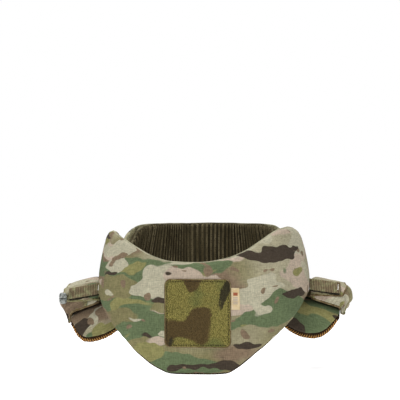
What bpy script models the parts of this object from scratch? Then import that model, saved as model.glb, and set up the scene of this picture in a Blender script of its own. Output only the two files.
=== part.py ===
"""Tactical neck protector: a curved throat bib, a standing rear collar with a ribbed liner, and two
shoulder pads that carry cloth sleeves for a vest's straps.

Sizes are in millimetres and meshes are written in metres. +Z is up, -Y is the front and +X is the
wearer's left. The origin is the centre of the neck at the height where the collar sits.
"""

import math
from collections import namedtuple

import bmesh
import bpy
from mathutils import Vector

MM = 0.001
FIT_GAP = 0.35  # clearance between pieces that lie on each other
LAYER_GAP = 0.8  # clearance between bent layers, whose facets differ
RIM_SHARE = 0.42  # the most of a layer's thickness that a round edge takes

# ---------------------------------------------------------------------------- throat bib and collar
BIB_HALF_WIDTH = 128.2  # outer face at its widest level
BIB_FLAT_HALF = 50.0  # half-width of the flat front that carries the patch
BIB_FRONT_Y = -122.0  # outer face of the flat front
BIB_THICKNESS = 14.0
BIB_RIM = 5.0  # radius of the padded edge
BIB_STATION_STEP = 15.0
BIB_FACE_ROWS = 8

LEAN_ABOVE = 8.0  # over this level the walls lean in towards the neck
LEAN_BELOW = -78.0  # under this level the bib's hem turns in
LEAN_LINEAR = 0.12
LEAN_CURVED = 0.0017

COLLAR_CENTRE_X = -3.0  # the collar sits a little off the bib's middle
COLLAR_HALF_WIDTH = 110.0
COLLAR_BACK_Y = 98.0
COLLAR_BACK_FLAT = 25.0
COLLAR_FRONT_RADIUS = 60.0  # plan radius of its two front ends
COLLAR_HALF_LENGTH = 228.0  # along its outer face, from the middle of the back
COLLAR_THICKNESS = 10.0
COLLAR_RIM = 4.0
COLLAR_BASE_DROP = 12.0  # how far the base reaches down past the pads' crest
COLLAR_BASE_GAP = 1.8
COLLAR_STATION_STEP = 15.0
COLLAR_FACE_ROWS = 5

LINER_THICKNESS = 5.4
LINER_RIB_DEPTH = 2.4
LINER_RIB_PITCH = 10.0
LINER_RIM = 2.4
LINER_MARGIN = 2.5  # camouflage cloth left bare round the liner
LINER_HALF_LENGTH = 216.0
LINER_FACE_ROWS = 2
LINER_END_EASE = 6.0  # the ribs fade out over this length at both ends

TAB_FRONT_Y = -40.0
TAB_BACK_Y = -20.0
TAB_BOTTOM = -4.0
TAB_TOP = 38.0

# ---------------------------------------------------------------------------- patch and label
PATCH_WIDTH = 78.0
PATCH_TOP = 7.0
PATCH_BOTTOM = -73.0
PATCH_THICKNESS = 2.2
PATCH_CORNER = 7.0
PATCH_BEVEL = 0.8

LABEL_LEFT_X = 39.4
LABEL_RIGHT_X = 49.2
LABEL_TOP = -3.0
LABEL_BOTTOM = -28.5
LABEL_THICKNESS = 1.2
LABEL_BEVEL = 0.4

# ---------------------------------------------------------------------------- shoulder pads
PAD_INNER = 92.0  # distance of the inner edge from the wearer's middle
PAD_OUTER = 167.5
PAD_THICKNESS = 8.0
PAD_EDGE_THICKNESS = 3.6  # the pad thins towards its outer edge
PAD_THIN_FROM = 146.0
PAD_RIM = 3.2
PAD_STATION_STEP = 7.0
PAD_ROWS = (-37.5, -27.0, 0.0, 27.0, 33.0, 39.3, 45.5, 60.0)  # along the saddle
PAD_ROW_STEP = 0.4  # between rows that a short section has pushed together
PAD_CROWN_RADIUS = 110.0  # of the top face, front to back over the shoulder
PAD_CROWN_TURN = math.radians(14.0)  # where the crown's curve meets the bend down
PAD_BEND_RADIUS = 14.0
PAD_CREST_Y = -4.5
PAD_CREST_Z = -13.0  # top face at the reference distance below
PAD_CREST_FROM = 94.0
PAD_SLOPE = 0.26  # fall for each mm outwards
PAD_CURL_FROM = 145.0
PAD_CURL = 0.010
SHOULDER_TILT = 0.026  # the wearer's left shoulder sits higher

PAD_LINER_THICKNESS = 2.4
PAD_LINER_GAP = 1.5
PAD_LINER_OVERHANG = 3.0  # how far its sewn edge stands out past the pad, front and back
PAD_LINER_SIDE = -1.5  # and at its outer side
PAD_LINER_ROUND = 0.6  # length of its last section at the outer side

# ---------------------------------------------------------------------------- strap sleeves
SLEEVE_REFERENCE = 130.0  # distance from the middle at which the profile's levels are given
SLEEVE_WALL = 2.2
NORMAL_STEP = 0.01  # of the sleeve's places, over which the direction of its face is read
FLAP_WALL = 1.8
FLAP_ACROSS = (0.19, 0.60)  # the part of the sleeve that the flap covers, as its places
FLAP_ALONG = (0.08, 0.82)

BAND_START = 128.9
BAND_END = 167.0
BAND_FRONT_Y = -43.6
BAND_THICKNESS = 2.4
BAND_BOTTOM = -12.3
BAND_HEIGHT = 13.5
BAND_FALL = 0.16
BAND_WRAP_FROM = 155.0
BAND_WRAP = 0.008
BAND_RIM = 0.8
BAND_FACE_ROWS = 2
BAND_STATIONS = 9

SLIDER_WIDTH = 9.0
SLIDER_DEPTH = 6.0
SLIDER_HEIGHT = 14.0
SLIDER_ROUND = 1.8
SLIDER_CENTRE = Vector((-173.5, -46.0, -21.0))

# The bib's cut, read along its outer face from its middle; negative is the wearer's right. The two
# sides sit a little differently.
BibCut = namedtuple("BibCut", "along bottom top")
BIB_CUT = (
    BibCut(-204.0, -2.0, 40.0),
    BibCut(-194.0, -9.0, 50.0),
    BibCut(-177.0, -14.0, 59.5),
    BibCut(-158.0, -21.5, 64.0),
    BibCut(-146.0, -30.0, 63.5),
    BibCut(-133.0, -39.5, 60.0),
    BibCut(-112.0, -55.5, 55.5),
    BibCut(-88.5, -73.0, 48.5),
    BibCut(-62.5, -91.5, 39.0),
    BibCut(-47.0, -101.5, 34.0),
    BibCut(-35.0, -105.7, 31.0),
    BibCut(0.0, -106.0, 29.5),
    BibCut(33.0, -105.5, 34.5),
    BibCut(45.0, -99.0, 39.0),
    BibCut(71.0, -80.5, 50.0),
    BibCut(98.0, -62.0, 61.0),
    BibCut(118.0, -48.5, 66.5),
    BibCut(138.0, -34.5, 68.5),
    BibCut(158.0, -20.5, 67.0),
    BibCut(177.0, -14.0, 61.0),
    BibCut(194.0, -9.0, 50.0),
    BibCut(204.0, -2.0, 40.0),
)

# The collar's upper edge, along its outer face from the middle of the back; its base follows the
# pads.
CollarCut = namedtuple("CollarCut", "along top")
COLLAR_CUT = (
    CollarCut(0.0, 71.5),
    CollarCut(90.0, 70.5),
    CollarCut(120.0, 69.0),
    CollarCut(145.0, 66.0),
    CollarCut(162.0, 61.5),
    CollarCut(178.0, 53.5),
    CollarCut(200.0, 43.0),
    CollarCut(218.0, 33.0),
    CollarCut(228.0, 24.0),
)

# The pad's outline: at a distance from the wearer's middle, how far it runs behind its crest and
# how far in front, measured along the saddle; the two sides' front lobes differ.
PadCut = namedtuple("PadCut", "across back right left")
PAD_CUT = (
    PadCut(92.0, -43.7, 58.0, 64.0),
    PadCut(97.0, -48.0, 62.5, 69.5),
    PadCut(104.0, -51.0, 66.5, 73.5),
    PadCut(113.0, -52.0, 70.5, 76.5),
    PadCut(122.0, -52.0, 73.4, 77.5),
    PadCut(132.0, -52.0, 74.0, 76.0),
    PadCut(142.0, -51.5, 73.0, 72.5),
    PadCut(149.0, -50.0, 70.6, 66.5),
    PadCut(154.0, -48.0, 65.2, 61.0),
    PadCut(158.0, -45.0, 58.5, 54.0),
    PadCut(163.0, -41.0, 46.5, 43.0),
    PadCut(167.5, -35.0, 33.0, 31.0),
)

# The sleeve's outline across the shoulder, from its inner hem (0) to its outer hem (1): share is
# its height between the hems' level and the level of its crown, sag is how far it hangs below that.
SleeveAcross = namedtuple("SleeveAcross", "place across share sag")
SLEEVE_ACROSS = (
    SleeveAcross(0.00, 117.0, 0.00, 0.0),
    SleeveAcross(0.06, 123.0, 0.09, 0.0),
    SleeveAcross(0.11, 128.5, 0.21, 0.0),
    SleeveAcross(0.15, 130.4, 0.46, 0.0),
    SleeveAcross(0.19, 131.6, 0.76, 0.0),
    SleeveAcross(0.24, 136.0, 0.96, 0.0),
    SleeveAcross(0.32, 145.0, 1.00, 0.0),
    SleeveAcross(0.41, 153.0, 1.00, 0.0),
    SleeveAcross(0.50, 161.0, 1.00, 0.0),
    SleeveAcross(0.60, 169.5, 0.97, 0.0),
    SleeveAcross(0.68, 175.0, 0.91, 0.0),
    SleeveAcross(0.76, 179.5, 0.80, 0.4),
    SleeveAcross(0.83, 181.5, 0.64, 1.4),
    SleeveAcross(0.89, 179.5, 0.44, 3.0),
    SleeveAcross(0.95, 175.0, 0.21, 5.0),
    SleeveAcross(1.00, 170.6, 0.00, 7.0),
)

# The sleeve's outline from its front mouth (0) to its back mouth (1): the crown's place and level,
# its fall outwards, the hems' place, how far out the sleeve reaches, and its share of the rise by
# which the two shoulders' crowns differ.
SleeveAlong = namedtuple("SleeveAlong", "place crown_y crown_z fall hem_y reach rise")
SLEEVE_ALONG = (
    SleeveAlong(0.00, -38.5, -23.0, 0.36, -24.0, 0.80, 0.0),
    SleeveAlong(0.08, -39.8, -14.5, 0.29, -22.5, 0.86, 0.0),
    SleeveAlong(0.16, -38.6, -6.5, 0.23, -20.5, 0.92, 0.2),
    SleeveAlong(0.24, -34.0, -2.2, 0.22, -18.0, 0.97, 0.4),
    SleeveAlong(0.30, -27.0, -0.4, 0.22, -15.0, 1.0, 0.6),
    SleeveAlong(0.40, -18.0, 0.4, 0.22, -11.0, 1.0, 0.8),
    SleeveAlong(0.50, -7.0, 1.2, 0.22, -6.0, 1.0, 1.0),
    SleeveAlong(0.62, 5.0, 1.6, 0.22, 0.0, 1.0, 1.0),
    SleeveAlong(0.74, 18.0, 0.4, 0.22, 7.0, 1.0, 0.9),
    SleeveAlong(0.82, 27.0, -3.0, 0.22, 12.0, 0.99, 0.6),
    SleeveAlong(0.89, 33.0, -8.5, 0.22, 15.5, 0.97, 0.4),
    SleeveAlong(0.95, 36.5, -15.5, 0.24, 18.5, 0.94, 0.2),
    SleeveAlong(1.00, 38.0, -22.0, 0.26, 21.0, 0.90, 0.0),
)

Side = namedtuple("Side", "name sign crown_rise")
SIDES = (Side("right", -1, 5.0), Side("left", 1, -1.0))

Finish = namedtuple("Finish", "name colour roughness metallic")
CAMO_CLOTH = Finish("camo_cloth", (0.230, 0.235, 0.120), 0.88, 0.0)
LOOP_PILE = Finish("loop_pile", (0.135, 0.130, 0.035), 0.95, 0.0)
LABEL_CLOTH = Finish("label_cloth", (0.640, 0.520, 0.300), 0.80, 0.0)
SPACER_MESH = Finish("spacer_mesh", (0.065, 0.062, 0.030), 0.92, 0.0)
BROWN_MESH = Finish("brown_mesh", (0.110, 0.055, 0.020), 0.92, 0.0)
WEBBING = Finish("webbing", (0.145, 0.130, 0.070), 0.85, 0.0)
HOOK_TAPE = Finish("hook_tape", (0.060, 0.060, 0.030), 0.90, 0.0)
GREY_PLASTIC = Finish("grey_plastic", (0.200, 0.220, 0.210), 0.55, 0.0)


# ---------------------------------------------------------------------------- tools
def clear_scene():
    """Empties the scene, the startup objects among it."""
    for item in list(bpy.data.objects):
        bpy.data.objects.remove(item)


def read_table(rows, key, column, value):
    """Reads a column at a value of the key column, through a curve that never overshoots."""
    keys = [getattr(row, key) for row in rows]
    reads = [getattr(row, column) for row in rows]
    steps = [
        (after - before) / (keys[i + 1] - keys[i])
        for i, (before, after) in enumerate(zip(reads, reads[1:]))
    ]

    def slope(i):
        if i in (0, len(steps)):
            return steps[min(i, len(steps) - 1)]
        before, after = steps[i - 1], steps[i]
        return 2 * before * after / (before + after) if before * after > 0 else 0.0

    value = min(max(value, keys[0]), keys[-1])
    i = next(i for i in range(len(steps)) if value <= keys[i + 1])
    span = keys[i + 1] - keys[i]
    t = (value - keys[i]) / span
    return (
        reads[i] * (1 + 2 * t) * (1 - t) ** 2
        + slope(i) * span * t * (1 - t) ** 2
        + reads[i + 1] * t * t * (3 - 2 * t)
        - slope(i + 1) * span * t * t * (1 - t)
    )


def get_material(finish):
    """Makes or finds the Principled material of a finish."""
    found = bpy.data.materials.get(finish.name)
    if found:
        return found
    made = bpy.data.materials.new(finish.name)
    made.use_nodes = True
    shader = made.node_tree.nodes["Principled BSDF"]
    shader.inputs["Base Color"].default_value = (*finish.colour, 1.0)
    shader.inputs["Roughness"].default_value = finish.roughness
    shader.inputs["Metallic"].default_value = finish.metallic
    return made


def add_object(name, bm, finish, sharp_degrees=40.0):
    """Turns a closed bmesh in metres into a named object with its normals outwards."""
    bmesh.ops.recalc_face_normals(bm, faces=bm.faces)
    mesh = bpy.data.meshes.new(name)
    bm.to_mesh(mesh)
    bm.free()
    mesh.shade_smooth()
    mesh.set_sharp_from_angle(angle=math.radians(sharp_degrees))
    mesh.materials.append(get_material(finish))
    made = bpy.data.objects.new(name, mesh)
    bpy.context.scene.collection.objects.link(made)
    return made


def loft(name, sections, finish):
    """Joins closed outlines of equal length into one capped solid."""
    bm = bmesh.new()
    rings = [[bm.verts.new(point * MM) for point in section] for section in sections]
    for ring, following in zip(rings, rings[1:]):
        for i in range(len(ring)):
            j = (i + 1) % len(ring)
            bm.faces.new((ring[i], ring[j], following[j], following[i]))
    bm.faces.new(rings[0])
    bm.faces.new(rings[-1])
    return add_object(name, bm, finish)


def thick_sheet(name, face_at, places_across, places_along, near, far, finish):
    """Makes a closed cloth layer between two offsets from a surface."""
    bm = bmesh.new()

    def layer(offset):
        return [
            [bm.verts.new(face_at(across, along, offset) * MM) for along in places_along]
            for across in places_across
        ]

    layers = (layer(near), layer(far))
    last_across = len(places_across) - 1
    last_along = len(places_along) - 1
    for grid in layers:
        for i in range(last_across):
            for j in range(last_along):
                bm.faces.new((grid[i][j], grid[i + 1][j], grid[i + 1][j + 1], grid[i][j + 1]))
    inner, outer = layers
    for j in range(last_along):
        for i in (0, last_across):
            bm.faces.new((inner[i][j], inner[i][j + 1], outer[i][j + 1], outer[i][j]))
    for i in range(last_across):
        for j in (0, last_along):
            bm.faces.new((inner[i][j], inner[i + 1][j], outer[i + 1][j], outer[i][j]))
    return add_object(name, bm, finish)


def edge_inset(distance, rim):
    """How far a round edge of radius rim has drawn in at a distance from its end."""
    if distance >= rim:
        return 0.0
    return rim - math.sqrt(rim**2 - (rim - distance) ** 2)


def edge_stations(first, last, rim, step):
    """Stations between two ends, close together where the round edges are."""
    turn = [rim * (1 - math.cos(math.radians(angle))) for angle in (0, 35, 62, 90)]
    count = max(1, round((last - first - 2 * rim) / step))
    middle = [first + rim + (last - first - 2 * rim) * i / count for i in range(1, count)]
    return [first + t for t in turn] + middle + [last - t for t in reversed(turn)]


def even_levels(low, high, rim, rows):
    """Heights of the rows of points on a face between two round edges."""
    return [low + rim + (high - low - 2 * rim) * i / rows for i in range(rows + 1)]


def padded_outline(levels, low, high, near, far, rim, corner_steps=3):
    """(height, depth) points round a padded section, up its near face and down its far one."""
    rim = min(rim, RIM_SHARE * (far - near))
    turns = [math.pi / 2 * i / corner_steps for i in range(corner_steps + 1)]
    outline = [(level, near) for level in levels]
    for turn in turns[1:]:
        outline.append((high - rim + rim * math.sin(turn), near + rim - rim * math.cos(turn)))
    for turn in turns[:-1]:
        outline.append((high - rim + rim * math.cos(turn), far - rim + rim * math.sin(turn)))
    outline += [(level, far) for level in reversed(levels)]
    for turn in turns[1:]:
        outline.append((low + rim - rim * math.sin(turn), far - rim + rim * math.cos(turn)))
    for turn in turns[:-1]:
        outline.append((low + rim - rim * math.cos(turn), near + rim - rim * math.sin(turn)))
    return outline


# ---------------------------------------------------------------------------- walls round the neck
def wall_lean(height):
    """How far the bib's and the collar's walls have drawn in at a height."""
    past = max(height - LEAN_ABOVE, LEAN_BELOW - height, 0.0)
    return LEAN_LINEAR * past + LEAN_CURVED * past**2


def bib_point(along, height, depth):
    """A point of the bib's wall, at a depth behind its outer face."""
    inset = depth + wall_lean(height)
    radius = BIB_HALF_WIDTH - BIB_FLAT_HALF
    past_flat = abs(along) - BIB_FLAT_HALF
    past_turn = past_flat - radius * math.pi / 2
    if past_flat <= 0:
        x, y = abs(along), BIB_FRONT_Y + inset
    elif past_turn <= 0:
        turn = past_flat / radius
        x = BIB_FLAT_HALF + (radius - inset) * math.sin(turn)
        y = BIB_FRONT_Y + radius - (radius - inset) * math.cos(turn)
    else:
        x, y = BIB_HALF_WIDTH - inset, BIB_FRONT_Y + radius + past_turn
    return Vector((math.copysign(x, along), y, height))


def collar_plan(along, inset):
    """Plan place of the collar's wall, as (x, y), at an inset from its outer face."""
    back_radius = COLLAR_HALF_WIDTH - COLLAR_BACK_FLAT
    back_centre_y = COLLAR_BACK_Y - back_radius
    front_centre_y = BIB_FRONT_Y + BIB_HALF_WIDTH - BIB_FLAT_HALF
    past_flat = abs(along) - COLLAR_BACK_FLAT
    past_turn = past_flat - back_radius * math.pi / 2
    past_side = past_turn - (back_centre_y - front_centre_y)
    if past_flat <= 0:
        x, y = abs(along), COLLAR_BACK_Y - inset
    elif past_turn <= 0:
        turn = past_flat / back_radius
        x = COLLAR_BACK_FLAT + (back_radius - inset) * math.sin(turn)
        y = back_centre_y + (back_radius - inset) * math.cos(turn)
    elif past_side <= 0:
        x, y = COLLAR_HALF_WIDTH - inset, back_centre_y - past_turn
    else:
        turn = past_side / COLLAR_FRONT_RADIUS
        x = COLLAR_HALF_WIDTH - COLLAR_FRONT_RADIUS + (COLLAR_FRONT_RADIUS - inset) * math.cos(turn)
        y = front_centre_y - (COLLAR_FRONT_RADIUS - inset) * math.sin(turn)
    return COLLAR_CENTRE_X + math.copysign(x, along), y


def collar_base(x, y):
    """Level of the collar's lower edge, which lies on the pads and drops a little behind them."""
    drop = saddle_drop(max(y, PAD_CREST_Y))
    return crest_level(x) - min(drop, COLLAR_BASE_DROP) + COLLAR_BASE_GAP


def collar_point(along, share, depth, top):
    """A point of the collar's wall, at a share of the way from its base to its top."""
    x, y = collar_plan(along, depth)
    height = collar_base(x, y) * (1 - share) + top * share
    x, y = collar_plan(along, depth + wall_lean(height))
    return Vector((x, y, height))


def build_bib():
    """The throat bib: a padded wall that bends round the front of the neck."""
    first, last = BIB_CUT[0].along, BIB_CUT[-1].along
    sections = []
    for along in edge_stations(first, last, BIB_RIM, BIB_STATION_STEP):
        inset = edge_inset(min(along - first, last - along), BIB_RIM)
        low = read_table(BIB_CUT, "along", "bottom", along) + inset
        high = read_table(BIB_CUT, "along", "top", along) - inset
        far = BIB_THICKNESS - inset
        levels = even_levels(low, high, BIB_RIM, BIB_FACE_ROWS)
        outline = padded_outline(levels, low, high, inset, far, BIB_RIM)
        sections.append([bib_point(along, height, depth) for height, depth in outline])
    return loft("throat_bib", sections, CAMO_CLOTH)


def build_collar():
    """The rear collar: a padded wall round the back and sides of the neck."""
    length = COLLAR_HALF_LENGTH
    sections = []
    for along in edge_stations(-length, length, COLLAR_RIM, COLLAR_STATION_STEP):
        inset = edge_inset(length - abs(along), COLLAR_RIM)
        top = read_table(COLLAR_CUT, "along", "top", abs(along)) - inset
        tall = top - collar_base(*collar_plan(along, COLLAR_THICKNESS / 2))
        far = COLLAR_THICKNESS - inset
        levels = even_levels(inset, tall, COLLAR_RIM, COLLAR_FACE_ROWS)
        outline = padded_outline(levels, inset, tall, inset, far, COLLAR_RIM)
        sections.append([collar_point(along, h / tall, depth, top) for h, depth in outline])
    return loft("rear_collar", sections, CAMO_CLOTH)


def build_collar_liner():
    """The spacer mesh on the collar's inner face, with its upright ribs."""
    ribs = 2 * round(LINER_HALF_LENGTH / LINER_RIB_PITCH)
    pitch = 2 * LINER_HALF_LENGTH / ribs
    near = COLLAR_THICKNESS + LAYER_GAP
    sections = []
    for i in range(2 * ribs + 1):
        along = -LINER_HALF_LENGTH + pitch * i / 2
        rib = 0.0 if i % 2 == 0 else LINER_RIB_DEPTH
        ease = min(1.0, (LINER_HALF_LENGTH - abs(along)) / LINER_END_EASE)
        far = near + LINER_THICKNESS + rib * ease
        collar_top = read_table(COLLAR_CUT, "along", "top", abs(along))
        base = collar_base(*collar_plan(along, near))
        low = LINER_MARGIN
        high = collar_top - base - LINER_MARGIN
        levels = even_levels(low, high, LINER_RIM, LINER_FACE_ROWS)
        outline = padded_outline(levels, low, high, near, far, LINER_RIM, corner_steps=1)
        share_of = collar_top - base
        sections.append([collar_point(along, h / share_of, d, collar_top) for h, d in outline])
    return loft("collar_liner", sections, SPACER_MESH)


def build_closure_tab(side):
    """The hidden hook-and-loop tab between the bib's inner face and the collar's outer face."""
    collar_outer = side.sign * COLLAR_CENTRE_X + COLLAR_HALF_WIDTH
    bib_inner = BIB_HALF_WIDTH - BIB_THICKNESS
    sections = []
    for y in (TAB_FRONT_Y, TAB_BACK_Y):
        section = []
        for height in (TAB_BOTTOM, LEAN_ABOVE, (LEAN_ABOVE + TAB_TOP) / 2, TAB_TOP):
            x = bib_inner - FIT_GAP - wall_lean(height)
            section.append(Vector((side.sign * x, y, height)))
        for height in (TAB_TOP, (LEAN_ABOVE + TAB_TOP) / 2, LEAN_ABOVE, TAB_BOTTOM):
            x = collar_outer + FIT_GAP - wall_lean(height)
            section.append(Vector((side.sign * x, y, height)))
        sections.append(section)
    return loft(f"closure_tab_{side.name}", sections, HOOK_TAPE)


# ---------------------------------------------------------------------------- patch and label
def build_patch():
    """The hook-and-loop patch on the bib's flat front, with round corners."""
    half = PATCH_WIDTH / 2 - PATCH_CORNER
    centres = (
        (half, PATCH_TOP - PATCH_CORNER, 0),
        (-half, PATCH_TOP - PATCH_CORNER, 90),
        (-half, PATCH_BOTTOM + PATCH_CORNER, 180),
        (half, PATCH_BOTTOM + PATCH_CORNER, 270),
    )
    sections = []
    shoulder = PATCH_THICKNESS - PATCH_BEVEL
    for depth, inset in ((0.0, 0.0), (shoulder, 0.0), (PATCH_THICKNESS, PATCH_BEVEL)):
        radius = PATCH_CORNER - inset
        y = BIB_FRONT_Y - FIT_GAP - depth
        section = []
        for x, z, start in centres:
            for angle in range(start, start + 91, 18):
                turn = math.radians(angle)
                section.append(Vector((x + radius * math.cos(turn), y, z + radius * math.sin(turn))))
        sections.append(section)
    return loft("loop_patch", sections, LOOP_PILE)


def build_label():
    """The small cloth tag beside the patch."""
    sections = []
    shoulder = LABEL_THICKNESS - LABEL_BEVEL
    for depth, inset in ((0.0, 0.0), (shoulder, 0.0), (LABEL_THICKNESS, LABEL_BEVEL)):
        y = BIB_FRONT_Y - FIT_GAP - depth
        left, right = LABEL_LEFT_X + inset, LABEL_RIGHT_X - inset
        bottom, top = LABEL_BOTTOM + inset, LABEL_TOP - inset
        corners = ((left, bottom), (right, bottom), (right, top), (left, top))
        sections.append([Vector((x, y, z)) for x, z in corners])
    return loft("side_label", sections, LABEL_CLOTH)


# ---------------------------------------------------------------------------- shoulder pads
def crest_level(x):
    """Level of the pads' crest at a place across; the two shoulders differ by the tilt."""
    across = max(abs(x), PAD_CREST_FROM)
    curl = PAD_CURL * max(across - PAD_CURL_FROM, 0.0) ** 2
    tilt = SHOULDER_TILT * math.copysign(across, x) if abs(x) > 1.0 else 0.0
    return PAD_CREST_Z - PAD_SLOPE * (across - PAD_CREST_FROM) - curl + tilt


def saddle_place(turn):
    """Reach from the crest and drop below it where the pads' top face has turned by an angle."""
    crown = min(turn, PAD_CROWN_TURN)
    reach = PAD_CROWN_RADIUS * math.sin(crown) + PAD_BEND_RADIUS * (math.sin(turn) - math.sin(crown))
    drop = PAD_CROWN_RADIUS * (1 - math.cos(crown))
    return reach, drop + PAD_BEND_RADIUS * (math.cos(crown) - math.cos(turn))


def saddle_drop(y):
    """How far the pads' top face has dropped from its crest at a place front to back."""
    reach = abs(y - PAD_CREST_Y)
    past_crown = reach - PAD_CROWN_RADIUS * math.sin(PAD_CROWN_TURN)
    if past_crown <= 0:
        return saddle_place(math.asin(reach / PAD_CROWN_RADIUS))[1]
    rise = math.sin(PAD_CROWN_TURN) + past_crown / PAD_BEND_RADIUS
    return saddle_place(math.asin(min(rise, 1.0)))[1]


def pad_point(side, across, along, rise):
    """A point of the pad: along runs to the front over the saddle, rise is over the top face."""
    crown_length = PAD_CROWN_RADIUS * PAD_CROWN_TURN
    past_crown = max(abs(along) - crown_length, 0.0)
    bend_turn = min(past_crown / PAD_BEND_RADIUS, math.pi / 2 - PAD_CROWN_TURN)
    turn = min(abs(along), crown_length) / PAD_CROWN_RADIUS + bend_turn
    hang = past_crown - bend_turn * PAD_BEND_RADIUS
    reach, drop = saddle_place(turn)
    y = PAD_CREST_Y - math.copysign(reach + rise * math.sin(turn), along)
    level = crest_level(side.sign * across) - drop - hang + rise * math.cos(turn)
    return Vector((side.sign * across, y, level))


def pad_ends(side, across):
    """How far a side's pad runs behind and in front of its crest, at a place across."""
    back = read_table(PAD_CUT, "across", "back", across)
    return back, read_table(PAD_CUT, "across", side.name, across)


def pad_thickness(across):
    """The pad's thickness, which falls towards its outer edge."""
    share = min(max((across - PAD_THIN_FROM) / (PAD_OUTER - PAD_THIN_FROM), 0.0), 1.0)
    return PAD_THICKNESS + (PAD_EDGE_THICKNESS - PAD_THICKNESS) * share


def pad_levels(back, front, rim):
    """Places along the saddle of a section's rows, pushed together where the section is short."""
    levels = [back + rim]
    for i, place in enumerate(PAD_ROWS, start=1):
        earliest = back + rim + PAD_ROW_STEP * i
        latest = front - rim - PAD_ROW_STEP * (len(PAD_ROWS) + 1 - i)
        levels.append(min(max(place, earliest), latest))
    return levels + [front - rim]


def build_pad(side):
    """The padded lobe over a shoulder."""
    sections = []
    for across in edge_stations(PAD_INNER, PAD_OUTER, PAD_RIM, PAD_STATION_STEP):
        thickness = pad_thickness(across)
        rim = min(PAD_RIM, RIM_SHARE * thickness)
        inset = edge_inset(min(across - PAD_INNER, PAD_OUTER - across), PAD_RIM) * rim / PAD_RIM
        back, front = pad_ends(side, across)
        back, front = back + inset, front - inset
        far = thickness - inset
        levels = pad_levels(back, front, rim)
        outline = padded_outline(levels, back, front, inset, far, rim, corner_steps=1)
        sections.append([pad_point(side, across, along, -depth) for along, depth in outline])
    return loft(f"shoulder_pad_{side.name}", sections, CAMO_CLOTH)


def build_pad_liner(side):
    """The mesh under a shoulder pad, whose sewn edge stands out past it."""
    last = PAD_OUTER + PAD_LINER_SIDE
    rim = RIM_SHARE * PAD_LINER_THICKNESS
    stations = edge_stations(PAD_INNER, PAD_OUTER, PAD_RIM, PAD_STATION_STEP)
    stations = [across for across in stations if across < last - 2 * PAD_LINER_ROUND]
    sections = []
    for across in stations + [last - PAD_LINER_ROUND, last]:
        inset = edge_inset(min(across - PAD_INNER, last - across), rim)
        back, front = pad_ends(side, across)
        back, front = back - PAD_LINER_OVERHANG + inset, front + PAD_LINER_OVERHANG - inset
        top = pad_thickness(across) + PAD_LINER_GAP
        near, far = top + inset, top + PAD_LINER_THICKNESS - inset
        levels = pad_levels(back, front, rim)
        outline = padded_outline(levels, back, front, near, far, rim, corner_steps=1)
        sections.append([pad_point(side, across, along, -depth) for along, depth in outline])
    return loft(f"pad_liner_{side.name}", sections, BROWN_MESH)


# ---------------------------------------------------------------------------- strap sleeves
def sleeve_face(side, place_across, place_along):
    """A point of the sleeve's outer face, from its two places (0 to 1)."""
    share, across, sag = (
        read_table(SLEEVE_ACROSS, "place", column, place_across)
        for column in ("share", "across", "sag")
    )
    narrowing = share * (1.0 - along_value("reach", place_along))
    across -= narrowing * (across - SLEEVE_REFERENCE)
    crown_y = along_value("crown_y", place_along)
    hem_y = along_value("hem_y", place_along)
    y = hem_y + share * (crown_y - hem_y)
    x = side.sign * across
    hem_z = crest_level(x) - saddle_drop(hem_y) + SLEEVE_WALL + LAYER_GAP
    fall = along_value("fall", place_along) * (across - SLEEVE_REFERENCE)
    crown_z = along_value("crown_z", place_along) - fall + SHOULDER_TILT * x
    crown_z += side.crown_rise * along_value("rise", place_along)
    return Vector((x, y, hem_z + share * (crown_z - hem_z) - sag))


def along_value(column, place):
    """Reads a column of the sleeve's lengthwise outline."""
    return read_table(SLEEVE_ALONG, "place", column, place)


def sleeve_point(side, place_across, place_along, offset):
    """A point at an offset outwards from the sleeve's outer face."""
    step = NORMAL_STEP
    low_across, high_across = max(place_across - step, 0.0), min(place_across + step, 1.0)
    low_along, high_along = max(place_along - step, 0.0), min(place_along + step, 1.0)
    run_across = sleeve_face(side, high_across, place_along) - sleeve_face(
        side, low_across, place_along
    )
    run_along = sleeve_face(side, place_across, high_along) - sleeve_face(
        side, place_across, low_along
    )
    outwards = run_across.cross(run_along).normalized() * side.sign
    return sleeve_face(side, place_across, place_along) + outwards * offset


def build_sleeve(side):
    """The cloth tunnel over a pad, open at its front and back mouths."""

    def point(across, along, offset):
        return sleeve_point(side, across, along, offset)

    return thick_sheet(
        f"strap_sleeve_{side.name}",
        point,
        [row.place for row in SLEEVE_ACROSS],
        [row.place for row in SLEEVE_ALONG],
        -SLEEVE_WALL,
        0.0,
        CAMO_CLOTH,
    )


def build_flap(side):
    """The upper cloth layer that lies on a sleeve."""

    def point(across, along, offset):
        return sleeve_point(side, across, along, offset)

    return thick_sheet(
        f"sleeve_flap_{side.name}",
        point,
        [row.place for row in SLEEVE_ACROSS if FLAP_ACROSS[0] <= row.place <= FLAP_ACROSS[1]],
        [row.place for row in SLEEVE_ALONG if FLAP_ALONG[0] <= row.place <= FLAP_ALONG[1]],
        LAYER_GAP,
        LAYER_GAP + FLAP_WALL,
        CAMO_CLOTH,
    )


def build_band(side):
    """The ribbed webbing that stands at a sleeve's front."""
    sections = []
    for i in range(BAND_STATIONS):
        across = BAND_START + (BAND_END - BAND_START) * i / (BAND_STATIONS - 1)
        wrap = BAND_WRAP * max(across - BAND_WRAP_FROM, 0.0) ** 2
        front = BAND_FRONT_Y + wrap
        level = SHOULDER_TILT * side.sign * across - BAND_FALL * (across - SLEEVE_REFERENCE)
        low = BAND_BOTTOM + level
        high = low + BAND_HEIGHT
        levels = even_levels(low, high, BAND_RIM, BAND_FACE_ROWS)
        outline = padded_outline(levels, low, high, 0.0, BAND_THICKNESS, BAND_RIM, corner_steps=1)
        sections.append([Vector((side.sign * across, front - d, z)) for z, d in outline])
    return loft(f"webbing_band_{side.name}", sections, WEBBING)


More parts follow.
